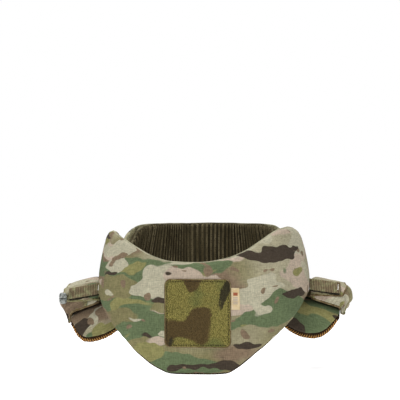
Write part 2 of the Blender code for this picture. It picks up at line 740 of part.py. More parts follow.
def build_slider():
    """The small slider at the outer end of the wearer's right band."""
    bm = bmesh.new()
    bmesh.ops.create_cube(bm, size=1.0)
    size = Vector((SLIDER_WIDTH, SLIDER_DEPTH, SLIDER_HEIGHT)) * MM
    bmesh.ops.scale(bm, vec=size, verts=bm.verts)
    offset = SLIDER_ROUND * MM
    bmesh.ops.bevel(bm, geom=bm.edges[:], offset=offset, segments=2, affect="EDGES", profile=0.5)
    bmesh.ops.translate(bm, vec=SLIDER_CENTRE * MM, verts=bm.verts)
    return add_object("strap_slider", bm, GREY_PLASTIC)


def main():
    """Builds every piece."""
    clear_scene()
    build_bib()
    build_patch()
    build_label()
    build_collar()
    build_collar_liner()
    for side in SIDES:
        build_closure_tab(side)
        build_pad(side)
        build_pad_liner(side)
        build_sleeve(side)
        build_flap(side)
        build_band(side)
    build_slider()


main()
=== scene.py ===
"""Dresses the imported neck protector: padded camouflage walls and pads, spacer mesh, pile and webbing.

Everything is in metres in the part's own frame: +Z is up, -Y is the front and +X the wearer's left.
"""

import logging
import math
import random
from collections.abc import Callable, Iterator, Sequence
from contextlib import contextmanager
from dataclasses import dataclass, field
from enum import Enum
from typing import NamedTuple

import bpy
import numpy as np
from mathutils import Matrix, Vector, noise
from mathutils.bvhtree import BVHTree


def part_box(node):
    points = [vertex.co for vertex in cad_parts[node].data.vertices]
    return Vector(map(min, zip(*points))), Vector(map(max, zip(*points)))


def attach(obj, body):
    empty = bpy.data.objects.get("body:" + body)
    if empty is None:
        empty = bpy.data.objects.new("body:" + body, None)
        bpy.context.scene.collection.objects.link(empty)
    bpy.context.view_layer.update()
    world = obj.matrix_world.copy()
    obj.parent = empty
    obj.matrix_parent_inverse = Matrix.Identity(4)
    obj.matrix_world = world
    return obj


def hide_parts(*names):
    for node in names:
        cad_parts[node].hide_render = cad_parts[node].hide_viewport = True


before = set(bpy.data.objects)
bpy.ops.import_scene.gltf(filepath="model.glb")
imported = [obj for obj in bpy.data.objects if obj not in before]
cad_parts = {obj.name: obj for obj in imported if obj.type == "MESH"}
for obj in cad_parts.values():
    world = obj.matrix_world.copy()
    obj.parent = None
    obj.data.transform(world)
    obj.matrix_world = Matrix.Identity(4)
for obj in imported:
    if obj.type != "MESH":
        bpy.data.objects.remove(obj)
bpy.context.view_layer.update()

LOG = logging.getLogger("neck_protector")
MM = 0.001
CLOTH = "cloth"  # the attribute that holds a point's place in the flat cloth
FOLD = "fold"  # the attribute that holds how high a point stands on its fold
MERGE = 0.01 * MM  # points nearer than this are one
SMOOTH_BELOW = math.radians(50.0)  # edges that are sharper stay sharp
Triple = tuple[float, float, float]
Colour = Triple


class Side(Enum):
    """A shoulder of the wearer: its name in the part and the sign of its X."""

    RIGHT = ("right", -1.0)
    LEFT = ("left", 1.0)

    @property
    def label(self) -> str:
        """The side's name in the part."""
        return self.value[0]

    @property
    def sign(self) -> float:
        """The sign of the side's X."""
        return self.value[1]


class Edge(Enum):
    """Which edge of a piece a path follows."""

    LOW = -1.0
    HIGH = 1.0


# ---------------------------------------------------------------------------- shader tools
class Graph:
    """The nodes of one tree, added and joined by short calls."""

    def __init__(self, tree: bpy.types.NodeTree) -> None:
        """Keeps the tree to build in."""
        self.tree = tree

    def feed(self, socket: bpy.types.NodeSocket, value: object) -> None:
        """Sets a socket from another socket or from a plain value.

        Args:
            socket: the input to set.
            value: an output socket, a number, or a colour or vector as a tuple.
        """
        if isinstance(value, bpy.types.NodeSocket):
            self.tree.links.new(value, socket)
        elif socket.type == "RGBA" and len(value) == 3:
            socket.default_value = (*value, 1.0)
        else:
            socket.default_value = value

    def add(self, kind: str, inputs: dict | None = None, **settings: object) -> bpy.types.Node:
        """Adds a node.

        Args:
            kind: its type, without the ShaderNode in front.
            inputs: values or sockets for its inputs, by name or number.
            settings: its own settings.

        Returns:
            The node.
        """
        node = self.tree.nodes.new("ShaderNode" + kind)
        for name, value in settings.items():
            setattr(node, name, value)
        for key, value in (inputs or {}).items():
            self.feed(node.inputs[key], value)
        return node

    def math(self, operation: str, *values: object) -> bpy.types.NodeSocket:
        """The result of a Math node, of its inputs in order."""
        return self.add("Math", dict(enumerate(values)), operation=operation).outputs[0]

    def vector(self, operation: str, *values: object) -> bpy.types.NodeSocket:
        """The vector that a Vector Math node gives, of its inputs in order."""
        return self.add("VectorMath", dict(enumerate(values)), operation=operation).outputs[0]

    def noise(
        self, place: object, scale: float, detail: float = 1.0, distortion: float = 0.0
    ) -> bpy.types.NodeSocket:
        """A noise's value round one half at a place, of so many cells to the metre."""
        inputs = {"Vector": place, "Scale": scale, "Detail": detail, "Distortion": distortion}
        return self.add("TexNoise", inputs).outputs["Fac"]

    def band(self, value: object, low: float, high: float) -> bpy.types.NodeSocket:
        """A smooth step of a value, from 0 at low to 1 at high."""
        inputs = {"Value": value, "From Min": low, "From Max": high}
        return self.add("MapRange", inputs, interpolation_type="SMOOTHSTEP").outputs["Result"]

    def mix(self, share: object, under: object, over: object, blend: str = "MIX") -> bpy.types.NodeSocket:
        """Mixes two colours; the share is how much of the second one shows."""
        inputs = {"Factor": share, 6: under, 7: over}
        return self.add("Mix", inputs, data_type="RGBA", blend_type=blend).outputs[2]

    def tint(self, colour: object, shade: object) -> bpy.types.NodeSocket:
        """A colour times a shade, which is 1 where nothing changes."""
        return self.mix(1.0, colour, shade, "MULTIPLY")

    def wave(self, value: object, rate: object) -> bpy.types.NodeSocket:
        """A sine along a place in metres, of so many turns to the metre."""
        turns = self.math("MULTIPLY", self.math("MULTIPLY", value, rate), 2 * math.pi)
        return self.math("SINE", turns)

    def split(self, place: object) -> Sequence[bpy.types.NodeSocket]:
        """A place's three coordinates."""
        return self.add("SeparateXYZ", {0: place}).outputs

    def moved(
        self, place: object, shift: Triple, stretch: Triple = (1.0, 1.0, 1.0), turn: float = 0.0
    ) -> bpy.types.NodeSocket:
        """Stretches a place, turns it round the second axis and shifts it."""
        inputs = {"Vector": place, "Location": shift, "Rotation": (0.0, turn, 0.0), "Scale": stretch}
        return self.add("Mapping", inputs).outputs[0]

    def bend(self, place: object, scale: float, reach: float, detail: float = 2.0) -> bpy.types.NodeSocket:
        """Shifts a place by a noise, so that the shapes read there get wandering edges.

        Args:
            place: the place.
            scale: wanders to the metre.
            reach: how far they go.
            detail: octaves above the first.

        Returns:
            The bent place.
        """
        inputs = {"Vector": place, "Scale": scale, "Detail": detail}
        way = self.vector("SUBTRACT", self.add("TexNoise", inputs).outputs["Color"], (0.5, 0.5, 0.5))
        shift = self.add("VectorMath", {0: way, "Scale": reach}, operation="SCALE").outputs[0]
        return self.vector("ADD", place, shift)


def new_group(
    name: str, inputs: dict[str, str], outputs: dict[str, str]
) -> tuple[Graph, bpy.types.Node, bpy.types.Node]:
    """Makes an empty node group.

    Args:
        name: the group's name.
        inputs: its inputs' names with their socket kinds.
        outputs: its outputs' names with their socket kinds.

    Returns:
        The group's graph, its input node and its output node.
    """
    tree = bpy.data.node_groups.new(name, "ShaderNodeTree")
    for sockets, way in ((inputs, "INPUT"), (outputs, "OUTPUT")):
        for label, kind in sockets.items():
            tree.interface.new_socket(label, in_out=way, socket_type="NodeSocket" + kind)
    return Graph(tree), tree.nodes.new("NodeGroupInput"), tree.nodes.new("NodeGroupOutput")


def use_group(graph: Graph, name: str, inputs: dict) -> Sequence[bpy.types.NodeSocket]:
    """Places a group in a material.

    Args:
        graph: the material's graph.
        name: the group's name.
        inputs: its values.

    Returns:
        The group's outputs.
    """
    node = graph.tree.nodes.new("ShaderNodeGroup")
    node.node_tree = bpy.data.node_groups[name]
    for key, value in inputs.items():
        graph.feed(node.inputs[key], value)
    return node.outputs


# ---------------------------------------------------------------------------- shared effects
class PrintLayer(NamedTuple):
    """One layer of the print: a noise of its own, stretched and turned, and cut at its level."""

    ink: Colour
    shift: Triple
    stretch: Triple
    turn: float  # in degrees
    scale: float  # shapes to the metre
    level: float
    soft: float  # half the width of the shapes' edges
    more: float = 0.0  # how much the ground's olive adds to it

    def shapes(self, graph: Graph, place: object, olive: object = 0.0) -> bpy.types.NodeSocket:
        """Its shapes as a mask.

        Args:
            graph: the graph to build in.
            place: where they are read.
            olive: how olive the ground is.

        Returns:
            The mask.
        """
        moved = graph.moved(place, self.shift, self.stretch, math.radians(self.turn))
        value = graph.math("MULTIPLY_ADD", olive, self.more, graph.noise(moved, self.scale, 0.5))
        return graph.band(value, self.level - self.soft, self.level + self.soft)


@dataclass(frozen=True)
class Camouflage:
    """The generic camouflage: layers of bent noise over a ground of two colours."""

    sand: Colour = (0.258, 0.236, 0.158)
    olive: Colour = (0.145, 0.130, 0.062)
    haze: Colour = (0.150, 0.108, 0.070)
    rose: Colour = (0.325, 0.266, 0.205)
    green: Colour = (0.084, 0.110, 0.055)
    moss: Colour = (0.170, 0.160, 0.064)
    pale: Colour = (0.306, 0.288, 0.208)
    umber: Colour = (0.041, 0.031, 0.022)
    ground_scale: float = 9.0
    ground_levels: tuple[float, float] = (0.42, 0.68)  # from sand to olive
    wanders: float = 48.0  # of the shapes' edges, to the metre
    wander_reach: float = 14.0 * MM

    def layers(self) -> tuple[PrintLayer, ...]:
        """The layers, from the ground upwards."""
        return (
            PrintLayer(self.haze, (3.1, 0.4, 1.7), (0.9, 1.0, 1.3), 8.0, 14.0, 0.590, 0.050, 0.1),
            PrintLayer(self.rose, (7.3, 2.2, 5.1), (0.55, 1.0, 1.6), -10.0, 22.0, 0.590, 0.012, -0.6),
            PrintLayer(self.green, (1.9, 8.4, 2.6), (0.60, 1.0, 1.5), 10.0, 21.0, 0.570, 0.008, 0.5),
            PrintLayer(self.moss, (5.7, 1.3, 9.2), (0.60, 1.0, 1.5), -6.0, 28.0, 0.655, 0.010, 0.2),
            PrintLayer(self.pale, (9.9, 3.8, 0.6), (0.65, 1.0, 1.4), 8.0, 34.0, 0.610, 0.008, -0.6),
            PrintLayer(self.umber, (2.7, 6.1, 7.9), (0.45, 1.0, 1.7), 16.0, 31.0, 0.635, 0.007, 0.0),
            PrintLayer(self.haze, (8.8, 5.3, 3.3), (0.9, 1.0, 1.2), -20.0, 60.0, 0.690, 0.012, 0.0),
        )

    def make(self) -> None:
        """Makes the group that prints it."""
        graph, source, sink = new_group(
            "camouflage", {"Place": "Vector", "Olive": "Float"}, {"Color": "Color"}
        )
        place, olive = source.outputs["Place"], source.outputs["Olive"]
        bent = graph.bend(place, self.wanders, self.wander_reach, 1.0)
        ground = graph.math("ADD", graph.noise(place, self.ground_scale), olive)
        colour = graph.mix(graph.band(ground, *self.ground_levels), self.sand, self.olive)
        for layer in self.layers():
            colour = graph.mix(layer.shapes(graph, bent, olive), colour, layer.ink)
        graph.feed(sink.inputs["Color"], colour)


class Share(NamedTuple):
    """How much a part of the weave adds to its height and to its shade."""

    height: float
    shade: float


@dataclass(frozen=True)
class Ripstop:
    """The cloth's weave: uneven threads both ways with a heavier grid between them."""

    upright: Triple = (1000.0, 1000.0, 180.0)  # uneven places to the metre in upright threads
    level: Triple = (180.0, 950.0, 950.0)  # and in level ones
    weave: Share = Share(0.35, 0.10)
    grid: Share = Share(0.6, -0.13)
    slub: Share = Share(0.8, 0.66)
    grid_line: tuple[float, float] = (0.86, 0.99)  # which part of the grid's wave is a line

    def make(self) -> None:
        """Makes the group that weaves it."""
        graph, source, sink = new_group(
            "ripstop",
            {"Place": "Vector", "Threads": "Float", "Grid": "Float"},
            {"Height": "Float", "Shade": "Float"},
        )
        place, threads, grid = (source.outputs[name] for name in ("Place", "Threads", "Grid"))
        split = graph.split(place)
        rise = graph.math("ADD", split[1], split[2])
        weave = graph.math("MULTIPLY", graph.wave(split[0], threads), graph.wave(rise, threads))
        lines = graph.math("MAXIMUM", graph.wave(split[0], grid), graph.wave(rise, grid))
        lines = graph.band(lines, *self.grid_line)
        slubs = [
            graph.noise(graph.vector("MULTIPLY", place, stretch), 1.0, 1.5)
            for stretch in (self.upright, self.level)
        ]
        slub = graph.math("SUBTRACT", graph.math("ADD", *slubs), 1.0)

        def total(kind: str) -> bpy.types.NodeSocket:
            """The three parts' sum, by their shares of one kind."""
            weave_share, grid_share, slub_share = (
                getattr(part, kind) for part in (self.weave, self.grid, self.slub)
            )
            both = graph.math("MULTIPLY_ADD", weave, weave_share, graph.math("MULTIPLY", lines, grid_share))
            return graph.math("MULTIPLY_ADD", slub, slub_share, both)

        graph.feed(sink.inputs["Height"], total("height"))
        graph.feed(sink.inputs["Shade"], graph.math("ADD", total("shade"), 1.0))


def make_mesh_knit() -> None:
    """Makes an open knit: rows of round eyes between thicker threads."""
    graph, source, sink = new_group(
        "mesh_knit", {"Place": "Vector", "Scale": "Float"}, {"Height": "Float", "Eye": "Float"}
    )
    inputs = {"Vector": source.outputs["Place"], "Scale": source.outputs["Scale"], "Randomness": 0.35}
    cells = graph.add("TexVoronoi", inputs).outputs["Distance"]
    eye_shade = graph.band(cells, 0.36, 0.18)
    graph.feed(sink.inputs["Eye"], eye_shade)
    fuzz = graph.noise(source.outputs["Place"], 1300.0, 2.0)
    graph.feed(sink.inputs["Height"], graph.math("MULTIPLY_ADD", fuzz, 0.3, cells))


def make_handling() -> None:
    """Makes the slow change of tone that handling leaves on cloth, lighter along its edges."""
    graph, source, sink = new_group("handling", {"Place": "Vector", "Depth": "Float"}, {"Tone": "Float"})
    place = source.outputs["Place"]
    slow = graph.math("SUBTRACT", graph.noise(place, 22.0, 3.0), 0.5)
    fine = graph.math("SUBTRACT", graph.noise(place, 260.0, 2.0), 0.5)
    both = graph.math("MULTIPLY_ADD", fine, 0.6, slow)
    edge = graph.band(graph.add("NewGeometry").outputs["Pointiness"], 0.50, 0.62)
    both = graph.math("MULTIPLY_ADD", edge, 0.25, both)
    graph.feed(sink.inputs["Tone"], graph.math("MULTIPLY_ADD", both, source.outputs["Depth"], 1.0))


# ---------------------------------------------------------------------------- finishes
@dataclass(frozen=True)
class Finish:
    """What every finish has: a name, gloss values and a way to make its material."""

    name: str
    roughness: float = 0.9
    gloss: float = 0.08
    relief: float = 0.25 * MM  # how far a height of 1 stands out

    def paint(self, graph: Graph) -> tuple[object, object]:
        """Builds the finish's own nodes.

        Args:
            graph: the material's graph.

        Returns:
            The colour and the height for the relief.
        """
        raise NotImplementedError

    def material(self) -> bpy.types.Material:
        """Makes the material, or finds the one already made."""
        found = bpy.data.materials.get("finish_" + self.name)
        if found:
            return found
        made = bpy.data.materials.new("finish_" + self.name)
        made.use_nodes = True
        shader = made.node_tree.nodes["Principled BSDF"]
        graph = Graph(made.node_tree)
        colour, height = self.paint(graph)
        graph.feed(shader.inputs["Base Color"], colour)
        shader.inputs["Roughness"].default_value = self.roughness
        shader.inputs["Specular IOR Level"].default_value = self.gloss
        bump = graph.add("Bump", {"Height": height, "Distance": self.relief, "Strength": 1.0})
        graph.feed(shader.inputs["Normal"], bump.outputs[0])
        return made

    @staticmethod
    def cloth_place(graph: Graph) -> bpy.types.NodeSocket:
        """The place in the flat cloth."""
        return graph.add("Attribute", attribute_name=CLOTH).outputs["Vector"]

    @staticmethod
    def object_place(graph: Graph) -> bpy.types.NodeSocket:
        """The place in the part's frame."""
        return graph.add("TexCoord").outputs["Object"]


@dataclass(frozen=True)
class CamouflageCloth(Finish):
    """Printed ripstop cloth; the shift picks the piece's own stretch of the print."""

    relief: float = 0.22 * MM
    shift: Triple = (0.0, 0.0, 0.0)
    turn: float = 0.0
    threads: float = 1500.0  # to the metre
    grid: float = 470.0
    soil: float = 0.45  # how far its tone changes
    olive: float = 0.0
    fall: float = 0.0  # how much more olive the ground gets for each metre down
    drift: float = 0.0  # and for each metre towards the wearer's right
    tone: float = 1.0

    def paint(self, graph: Graph) -> tuple[object, object]:
        """Prints the camouflage over the weave."""
        place = self.cloth_place(graph)
        split = graph.split(place)
        olive = graph.math("MULTIPLY_ADD", split[2], -self.fall, self.olive)
        olive = graph.math("MULTIPLY_ADD", split[0], -self.drift, olive)
        stretch_of_print = graph.moved(place, self.shift, turn=self.turn)
        colour = use_group(graph, "camouflage", {"Place": stretch_of_print, "Olive": olive})[0]
        weave = use_group(graph, "ripstop", {"Place": place, "Threads": self.threads, "Grid": self.grid})
        tone = use_group(graph, "handling", {"Place": place, "Depth": self.soil})["Tone"]
        shade = graph.math("MULTIPLY", graph.math("MULTIPLY", weave["Shade"], tone), self.tone)
        return graph.tint(colour, shade), weave["Height"]


@dataclass(frozen=True)
class LoopPile(Finish):
    """Fuzzy olive loop with broad printed shapes, painted highlight on the curl tops and painted shade in the
    hollows between the curls.
    """

    relief: float = 0.7 * MM
    ground: Colour = (0.088, 0.076, 0.019)
    lit: Colour = (0.182, 0.158, 0.048)
    moss: Colour = (0.078, 0.088, 0.028)
    brown: Colour = (0.052, 0.033, 0.014)
    dark: Colour = (0.020, 0.017, 0.010)
    cover: float = 0.92  # how much of the loop the print colours
    curls: float = 1000.0  # to the metre
    curl_shape: Triple = (1.15, 1.0, 0.8)
    moss_patches: float = 38.0
    moss_share: float = 0.7
    strays: float = 420.0  # loops that stray over the print's edges, to the metre
    stray_reach: float = 4.0 * MM
    hollow_shade: float = 0.65  # how much painted shade darkens the hollows between the curls

    def paint(self, graph: Graph) -> tuple[object, object]:
        """Prints broad shapes on curled loops, with painted highlight on the curl tops and painted shade in
        the hollows.
        """
        place = self.object_place(graph)
        curls = graph.noise(graph.vector("MULTIPLY", place, self.curl_shape), self.curls, 2.0, 1.0)
        # painted highlight: the curl tops take the lit colour
        colour = graph.mix(graph.band(curls, 0.34, 0.68), self.ground, self.lit)
        patches = graph.band(graph.noise(place, self.moss_patches, 2.0), 0.46, 0.66)
        colour = graph.mix(graph.math("MULTIPLY", patches, self.moss_share), colour, self.moss)
        ragged = graph.bend(place, self.strays, self.stray_reach)
        for layer in (
            PrintLayer(self.brown, (6.69, 0.0, 3.16), (0.9, 1.0, 1.0), 0.0, 24.0, 0.560, 0.015),
            PrintLayer(self.dark, (8.68, 0.0, 0.03), (1.5, 1.0, 0.8), 0.0, 25.0, 0.640, 0.015),
        ):
            covered = graph.math("MULTIPLY", layer.shapes(graph, ragged), self.cover)
            colour = graph.mix(covered, colour, layer.ink)
        # painted shade: the hollows between the curls are darkened
        deep = graph.math("MULTIPLY_ADD", graph.band(curls, 0.30, 0.62), 0.9, 0.35)
        return graph.mix(self.hollow_shade, colour, deep, "MULTIPLY"), curls


@dataclass(frozen=True)
class MeshKnit(Finish):
    """An open spacer mesh or edging mesh, whose eyes are darkened with painted shade."""

    relief: float = 0.6 * MM
    thread: Colour = (0.052, 0.046, 0.023)
    lit: Colour = (0.120, 0.108, 0.060)
    # near-black painted shade for the depth of the eyes
    eye_shade: Colour = (0.010, 0.009, 0.005)
    scale: float = 420.0  # eyes to the metre
    eye_share: float = 0.85  # how dark the painted shade in the eyes is
    groove_share: float = 0.75  # and the painted shade in the grooves between folds
    worn: float = 70.0  # lit patches to the metre, which on folded pieces are held to the ridges as a painted highlight
    soil: float = 0.7
    folded: bool = False  # paints shade into the grooves and highlight onto the ridges of the piece's own folds

    def paint(self, graph: Graph) -> tuple[object, object]:
        """Sets eyes darkened with painted shade between lit threads."""
        place = self.object_place(graph)
        knit = use_group(graph, "mesh_knit", {"Place": place, "Scale": self.scale})
        worn = graph.vector("MULTIPLY", place, (1.0, 1.0, 0.25 if self.folded else 1.0))
        patchy = graph.band(graph.noise(worn, self.worn, 3.0), 0.35, 0.68)
        if self.folded:
            fold = graph.add("Attribute", attribute_name=FOLD).outputs["Fac"]
            # painted highlight: the lit patches keep to the fold ridges
            patchy = graph.math("MULTIPLY", patchy, graph.band(fold, -0.2, 1.0))
        colour = graph.mix(patchy, self.thread, self.lit)
        # painted shade: the eyes darken towards near-black
        colour = graph.mix(graph.math("MULTIPLY", knit["Eye"], self.eye_share), colour, self.eye_shade)
        if self.folded:
            # painted shade: the grooves between the folds darken towards the eyes' near-black
            groove_shade = graph.math("MULTIPLY", graph.band(fold, 0.2, -0.9), self.groove_share)
            colour = graph.mix(groove_shade, colour, self.eye_shade)
        tone = use_group(graph, "handling", {"Place": place, "Depth": self.soil})["Tone"]
        return graph.tint(colour, tone), knit["Height"]


@dataclass(frozen=True)
class Tape(Finish):
    """Woven tape or binding with fine cross ribs, speckled colour and painted shade in the grooves between
    the ribs.
    """

    base: Colour = (0.120, 0.090, 0.045)
    fleck: Colour = (0.230, 0.200, 0.120)
    # near-black of the painted shade in the grooves
    groove_shade: Colour = (0.022, 0.018, 0.010)
    ribs: float = 900.0  # to the metre
    ribs_along: int = 2  # the axis that the ribs follow one another on
    flecks: float = 130.0
    fuzz: float = 1500.0
    depth: float = 0.2  # how dark the painted shade in the grooves between the ribs is
    on_cloth: bool = False  # follows the place in the cloth

    def paint(self, graph: Graph) -> tuple[object, object]:
        """Weaves ribs and flecks, and paints shade into the grooves between the ribs."""
        place = self.cloth_place(graph) if self.on_cloth else self.object_place(graph)
        rib = graph.wave(graph.split(place)[self.ribs_along], self.ribs)
        patchy = graph.band(graph.noise(place, self.flecks, 3.0, 0.6), 0.40, 0.66)
        colour = graph.mix(patchy, self.base, self.fleck)
        fuzz = graph.noise(place, self.fuzz, 2.0)
        # painted shade: the grooves between the ribs darken
        dark = graph.math("MULTIPLY", graph.band(rib, 0.3, -0.8), self.depth)
        colour = graph.mix(dark, colour, self.groove_shade)
        colour = graph.tint(colour, graph.math("ADD", fuzz, 0.5))
        return colour, graph.math("MULTIPLY_ADD", fuzz, 0.7, rib)


@dataclass(frozen=True)
class Thread(Finish):
    """Twisted sewing thread."""

    relief: float = 0.12 * MM
    base: Colour = (0.080, 0.062, 0.035)
    strands: float = 700.0  # to the metre
    patches: float = 90.0

    def paint(self, graph: Graph) -> tuple[object, object]:
        """Twists light and dark strands."""
        place = self.object_place(graph)
        inputs = {"Vector": place, "Scale": self.strands, "Distortion": 1.5}
        twist = graph.add("TexWave", inputs, bands_direction="DIAGONAL").outputs["Fac"]
        shade = graph.math("MULTIPLY_ADD", twist, 0.5, 0.72)
        tone = graph.math("MULTIPLY_ADD", graph.noise(place, self.patches, 2.0), 0.6, 0.7)
        return graph.tint(self.base, graph.math("MULTIPLY", shade, tone)), twist


@dataclass(frozen=True)
class LabelCloth(Finish):
    """Cream satin ribbon with a small woven square and short bars under it."""

    relief: float = 0.15 * MM
    base: Colour = (0.580, 0.440, 0.240)
    edge: Colour = (0.660, 0.530, 0.330)
    red: Colour = (0.330, 0.100, 0.055)
    grey: Colour = (0.400, 0.335, 0.280)
    floats: float = 2200.0  # threads to the metre across the ribbon
    wefts: float = 1400.0  # and along it
    middle: float = 44.4 * MM  # of the marks, across
    soft: float = 0.15 * MM  # half the width of the marks' edges
    square: Triple = (-10.2 * MM, 2.6 * MM, 1.9 * MM)  # level, half-width, half-height
    bar: tuple[float, float] = (2.7 * MM, 0.55 * MM)  # half-width, half-height
    bar_levels: tuple[float, ...] = (-14.4 * MM, -16.2 * MM, -18.0 * MM, -19.8 * MM, -21.6 * MM)

    def paint(self, graph: Graph) -> tuple[object, object]:
        """Weaves satin floats, the square and the bars."""
        place = self.object_place(graph)
        split = graph.split(place)
        across, up = graph.wave(split[0], self.floats), graph.wave(split[2], self.wefts)
        weave = graph.math("MULTIPLY_ADD", up, 0.5, across)
        patchy = graph.band(graph.noise(place, 180.0, 2.0), 0.35, 0.65)
        colour = graph.mix(patchy, self.base, self.edge)
        marks = [(self.red, *self.square), *((self.grey, level, *self.bar) for level in self.bar_levels)]
        for ink, level, wide, high in marks:
            off = []
            for value, middle, half in ((split[0], self.middle, wide), (split[2], level, high)):
                away = graph.math("ABSOLUTE", graph.math("SUBTRACT", value, middle))
                off.append(graph.band(away, half + self.soft, half - self.soft))
            colour = graph.mix(graph.math("MULTIPLY", *off), colour, ink)
        return graph.tint(colour, graph.math("MULTIPLY_ADD", weave, 0.05, 0.95)), weave


@dataclass(frozen=True)
class MottledPlastic(Finish):
    """Grey moulded plastic with a cloudy mottle and scuffed edges."""

    base: Colour = (0.060, 0.066, 0.060)
    cloud: Colour = (0.170, 0.182, 0.168)
    scuff: Colour = (0.360, 0.370, 0.350)
    roughness: float = 0.38
    gloss: float = 0.5
    relief: float = 0.04 * MM
    clouds: float = 260.0  # to the metre
    scuffs: float = 800.0
    grain: float = 1500.0

    def paint(self, graph: Graph) -> tuple[object, object]:
        """Mottles the plastic and scuffs its edges."""
        place = self.object_place(graph)
        mottle = graph.band(graph.noise(place, self.clouds, 2.0, 0.5), 0.40, 0.62)
        colour = graph.mix(mottle, self.base, self.cloud)
        edge = graph.band(graph.add("NewGeometry").outputs["Pointiness"], 0.52, 0.60)
        worn = graph.math("MULTIPLY", edge, graph.noise(place, self.scuffs, 2.0))
        return graph.mix(worn, colour, self.scuff), graph.noise(place, self.grain, 3.0)


@dataclass(frozen=True)
class HookTape(Finish):
    """Stiff hook tape: rows of fine hooks on a woven ground."""

    relief: float = 0.5 * MM
    ground: Colour = (0.040, 0.040, 0.020)
    hook: Colour = (0.110, 0.108, 0.060)
    hooks: float = 700.0  # to the metre

    def paint(self, graph: Graph) -> tuple[object, object]:
        """Stands rows of hooks on the ground."""
        place = self.object_place(graph)
        inputs = {"Vector": place, "Scale": self.hooks, "Randomness": 0.15}
        hooks = graph.add("TexVoronoi", inputs).outputs["Distance"]
        colour = graph.mix(graph.band(hooks, 0.45, 0.15), self.ground, self.hook)
        return colour, graph.math("SUBTRACT", 1.0, hooks)


BIB_CLOTH = CamouflageCloth("camo_bib", shift=(3.25, 7.07, 6.97), fall=2.0, drift=0.35, olive=-0.03)
COLLAR_CLOTH = CamouflageCloth("camo_collar", shift=(1.37, 0.52, 0.61), fall=0.4, turn=0.2)
PAD_CLOTHS = {
    Side.RIGHT: CamouflageCloth("camo_pad_right", shift=(5.23, 5.99, 3.79), turn=0.7, tone=0.92),
    Side.LEFT: CamouflageCloth("camo_pad_left", shift=(2.12, 3.00, 5.52), turn=-0.3, olive=0.16, tone=0.95),
}
SLEEVE_CLOTHS = {
    Side.RIGHT: CamouflageCloth("camo_sleeve_right", shift=(2.79, 7.37, 4.33), turn=0.2, olive=-0.02),
    Side.LEFT: CamouflageCloth("camo_sleeve_left", shift=(2.64, 8.51, 5.85), turn=-0.4, olive=-0.04),
}
PILE = LoopPile("loop_pile")
SPACER = MeshKnit("spacer_mesh")
LINER_KNIT = MeshKnit("liner_mesh", thread=(0.042, 0.033, 0.016), lit=(0.135, 0.112, 0.064), folded=True)
BROWN_KNIT = MeshKnit(
    "brown_mesh",
    thread=(0.013, 0.008, 0.004),
    lit=(0.042, 0.022, 0.009),
    eye_shade=(0.004, 0.003, 0.002),
    scale=480.0,
)
BINDING = Tape("binding", base=(0.105, 0.072, 0.034), fleck=(0.190, 0.150, 0.080))
OLIVE_BINDING = Tape("olive_binding", base=(0.160, 0.145, 0.065), fleck=(0.300, 0.280, 0.160))
# the bib's pale piping; its light colour also stands in for the highlight along the bib's top rim
HIGHLIGHT_PIPING = Tape("piping", base=(0.260, 0.250, 0.165), fleck=(0.370, 0.350, 0.250))
COLLAR_PIPING = Tape("collar_piping", base=(0.165, 0.160, 0.095), fleck=(0.270, 0.260, 0.170))
LINER_TAPE = Tape("liner_tape", base=(0.055, 0.046, 0.024), fleck=(0.120, 0.106, 0.062))
BAND_RIB = 2.1 * MM
BAND_TAPE = Tape(
    "webbing",
    base=(0.150, 0.112, 0.066),
    fleck=(0.235, 0.225, 0.120),
    ribs=1 / BAND_RIB,
    ribs_along=0,
    depth=0.62,
    on_cloth=True,
)
DARK_BAND = Tape(
    "dark_band", base=(0.060, 0.050, 0.028), fleck=(0.120, 0.110, 0.062), ribs=480.0, ribs_along=0
)
# a dark tape painted near black for the shadow gap under each webbing band
SHADOW_TAPE = Tape("shadow_tape", base=(0.010, 0.008, 0.005), fleck=(0.026, 0.022, 0.013))
DARK_THREAD = Thread("dark_thread", base=(0.030, 0.023, 0.014))
AMBER_THREAD = Thread("amber_thread", base=(0.400, 0.205, 0.062))
WHITE_THREAD = Thread("white_thread", base=(0.620, 0.600, 0.540))
RIBBON = LabelCloth("label_cloth")
GREY_PLASTIC = MottledPlastic("grey_plastic")
HOOKS = HookTape("hook_tape")


# ---------------------------------------------------------------------------- mesh tools
def use(piece: bpy.types.Object) -> None:
    """Makes a piece the only selected one, and the active one."""
    bpy.ops.object.select_all(action="DESELECT")
    piece.select_set(True)
    bpy.context.view_layer.objects.active = piece


@contextmanager
def editing(piece: bpy.types.Object) -> Iterator[None]:
    """Opens a piece in edit mode with all of it selected, and closes it again."""
    use(piece)
    bpy.ops.object.mode_set(mode="EDIT")
    bpy.ops.mesh.select_all(action="SELECT")
    yield
    bpy.ops.object.mode_set(mode="OBJECT")


def add_primitive(operator: Callable, name: str, **settings: object) -> bpy.types.Object:
    """Adds a primitive with nothing else selected.

    Args:
        operator: the operator that adds it.
        name: the new piece's name.
        settings: the operator's settings.

    Returns:
        The new piece.
    """
    bpy.ops.object.select_all(action="DESELECT")
    operator(**settings)
    made = bpy.context.object
    made.name = made.data.name = name
    return made


def link_piece(name: str, data: bpy.types.ID) -> bpy.types.Object:
    """Puts a mesh or curve into the scene as a piece of its own."""
    made = bpy.data.objects.new(name, data)
    bpy.context.scene.collection.objects.link(made)
    return made


def apply_modifier(piece: bpy.types.Object, kind: str, **settings: object) -> None:
    """Adds a modifier with its settings and applies it.

    Args:
        piece: the piece it works on.
        kind: the modifier's type.
        settings: its settings.
    """
    use(piece)
    modifier = piece.modifiers.new("work", kind)
    for name, value in settings.items():
        setattr(modifier, name, value)
    bpy.ops.object.modifier_apply(modifier=modifier.name)


def get_points(piece: bpy.types.Object) -> np.ndarray:
    """The piece's points, one row each."""
    flat = np.empty(len(piece.data.vertices) * 3)
    piece.data.vertices.foreach_get("co", flat)
    return flat.reshape(-1, 3)


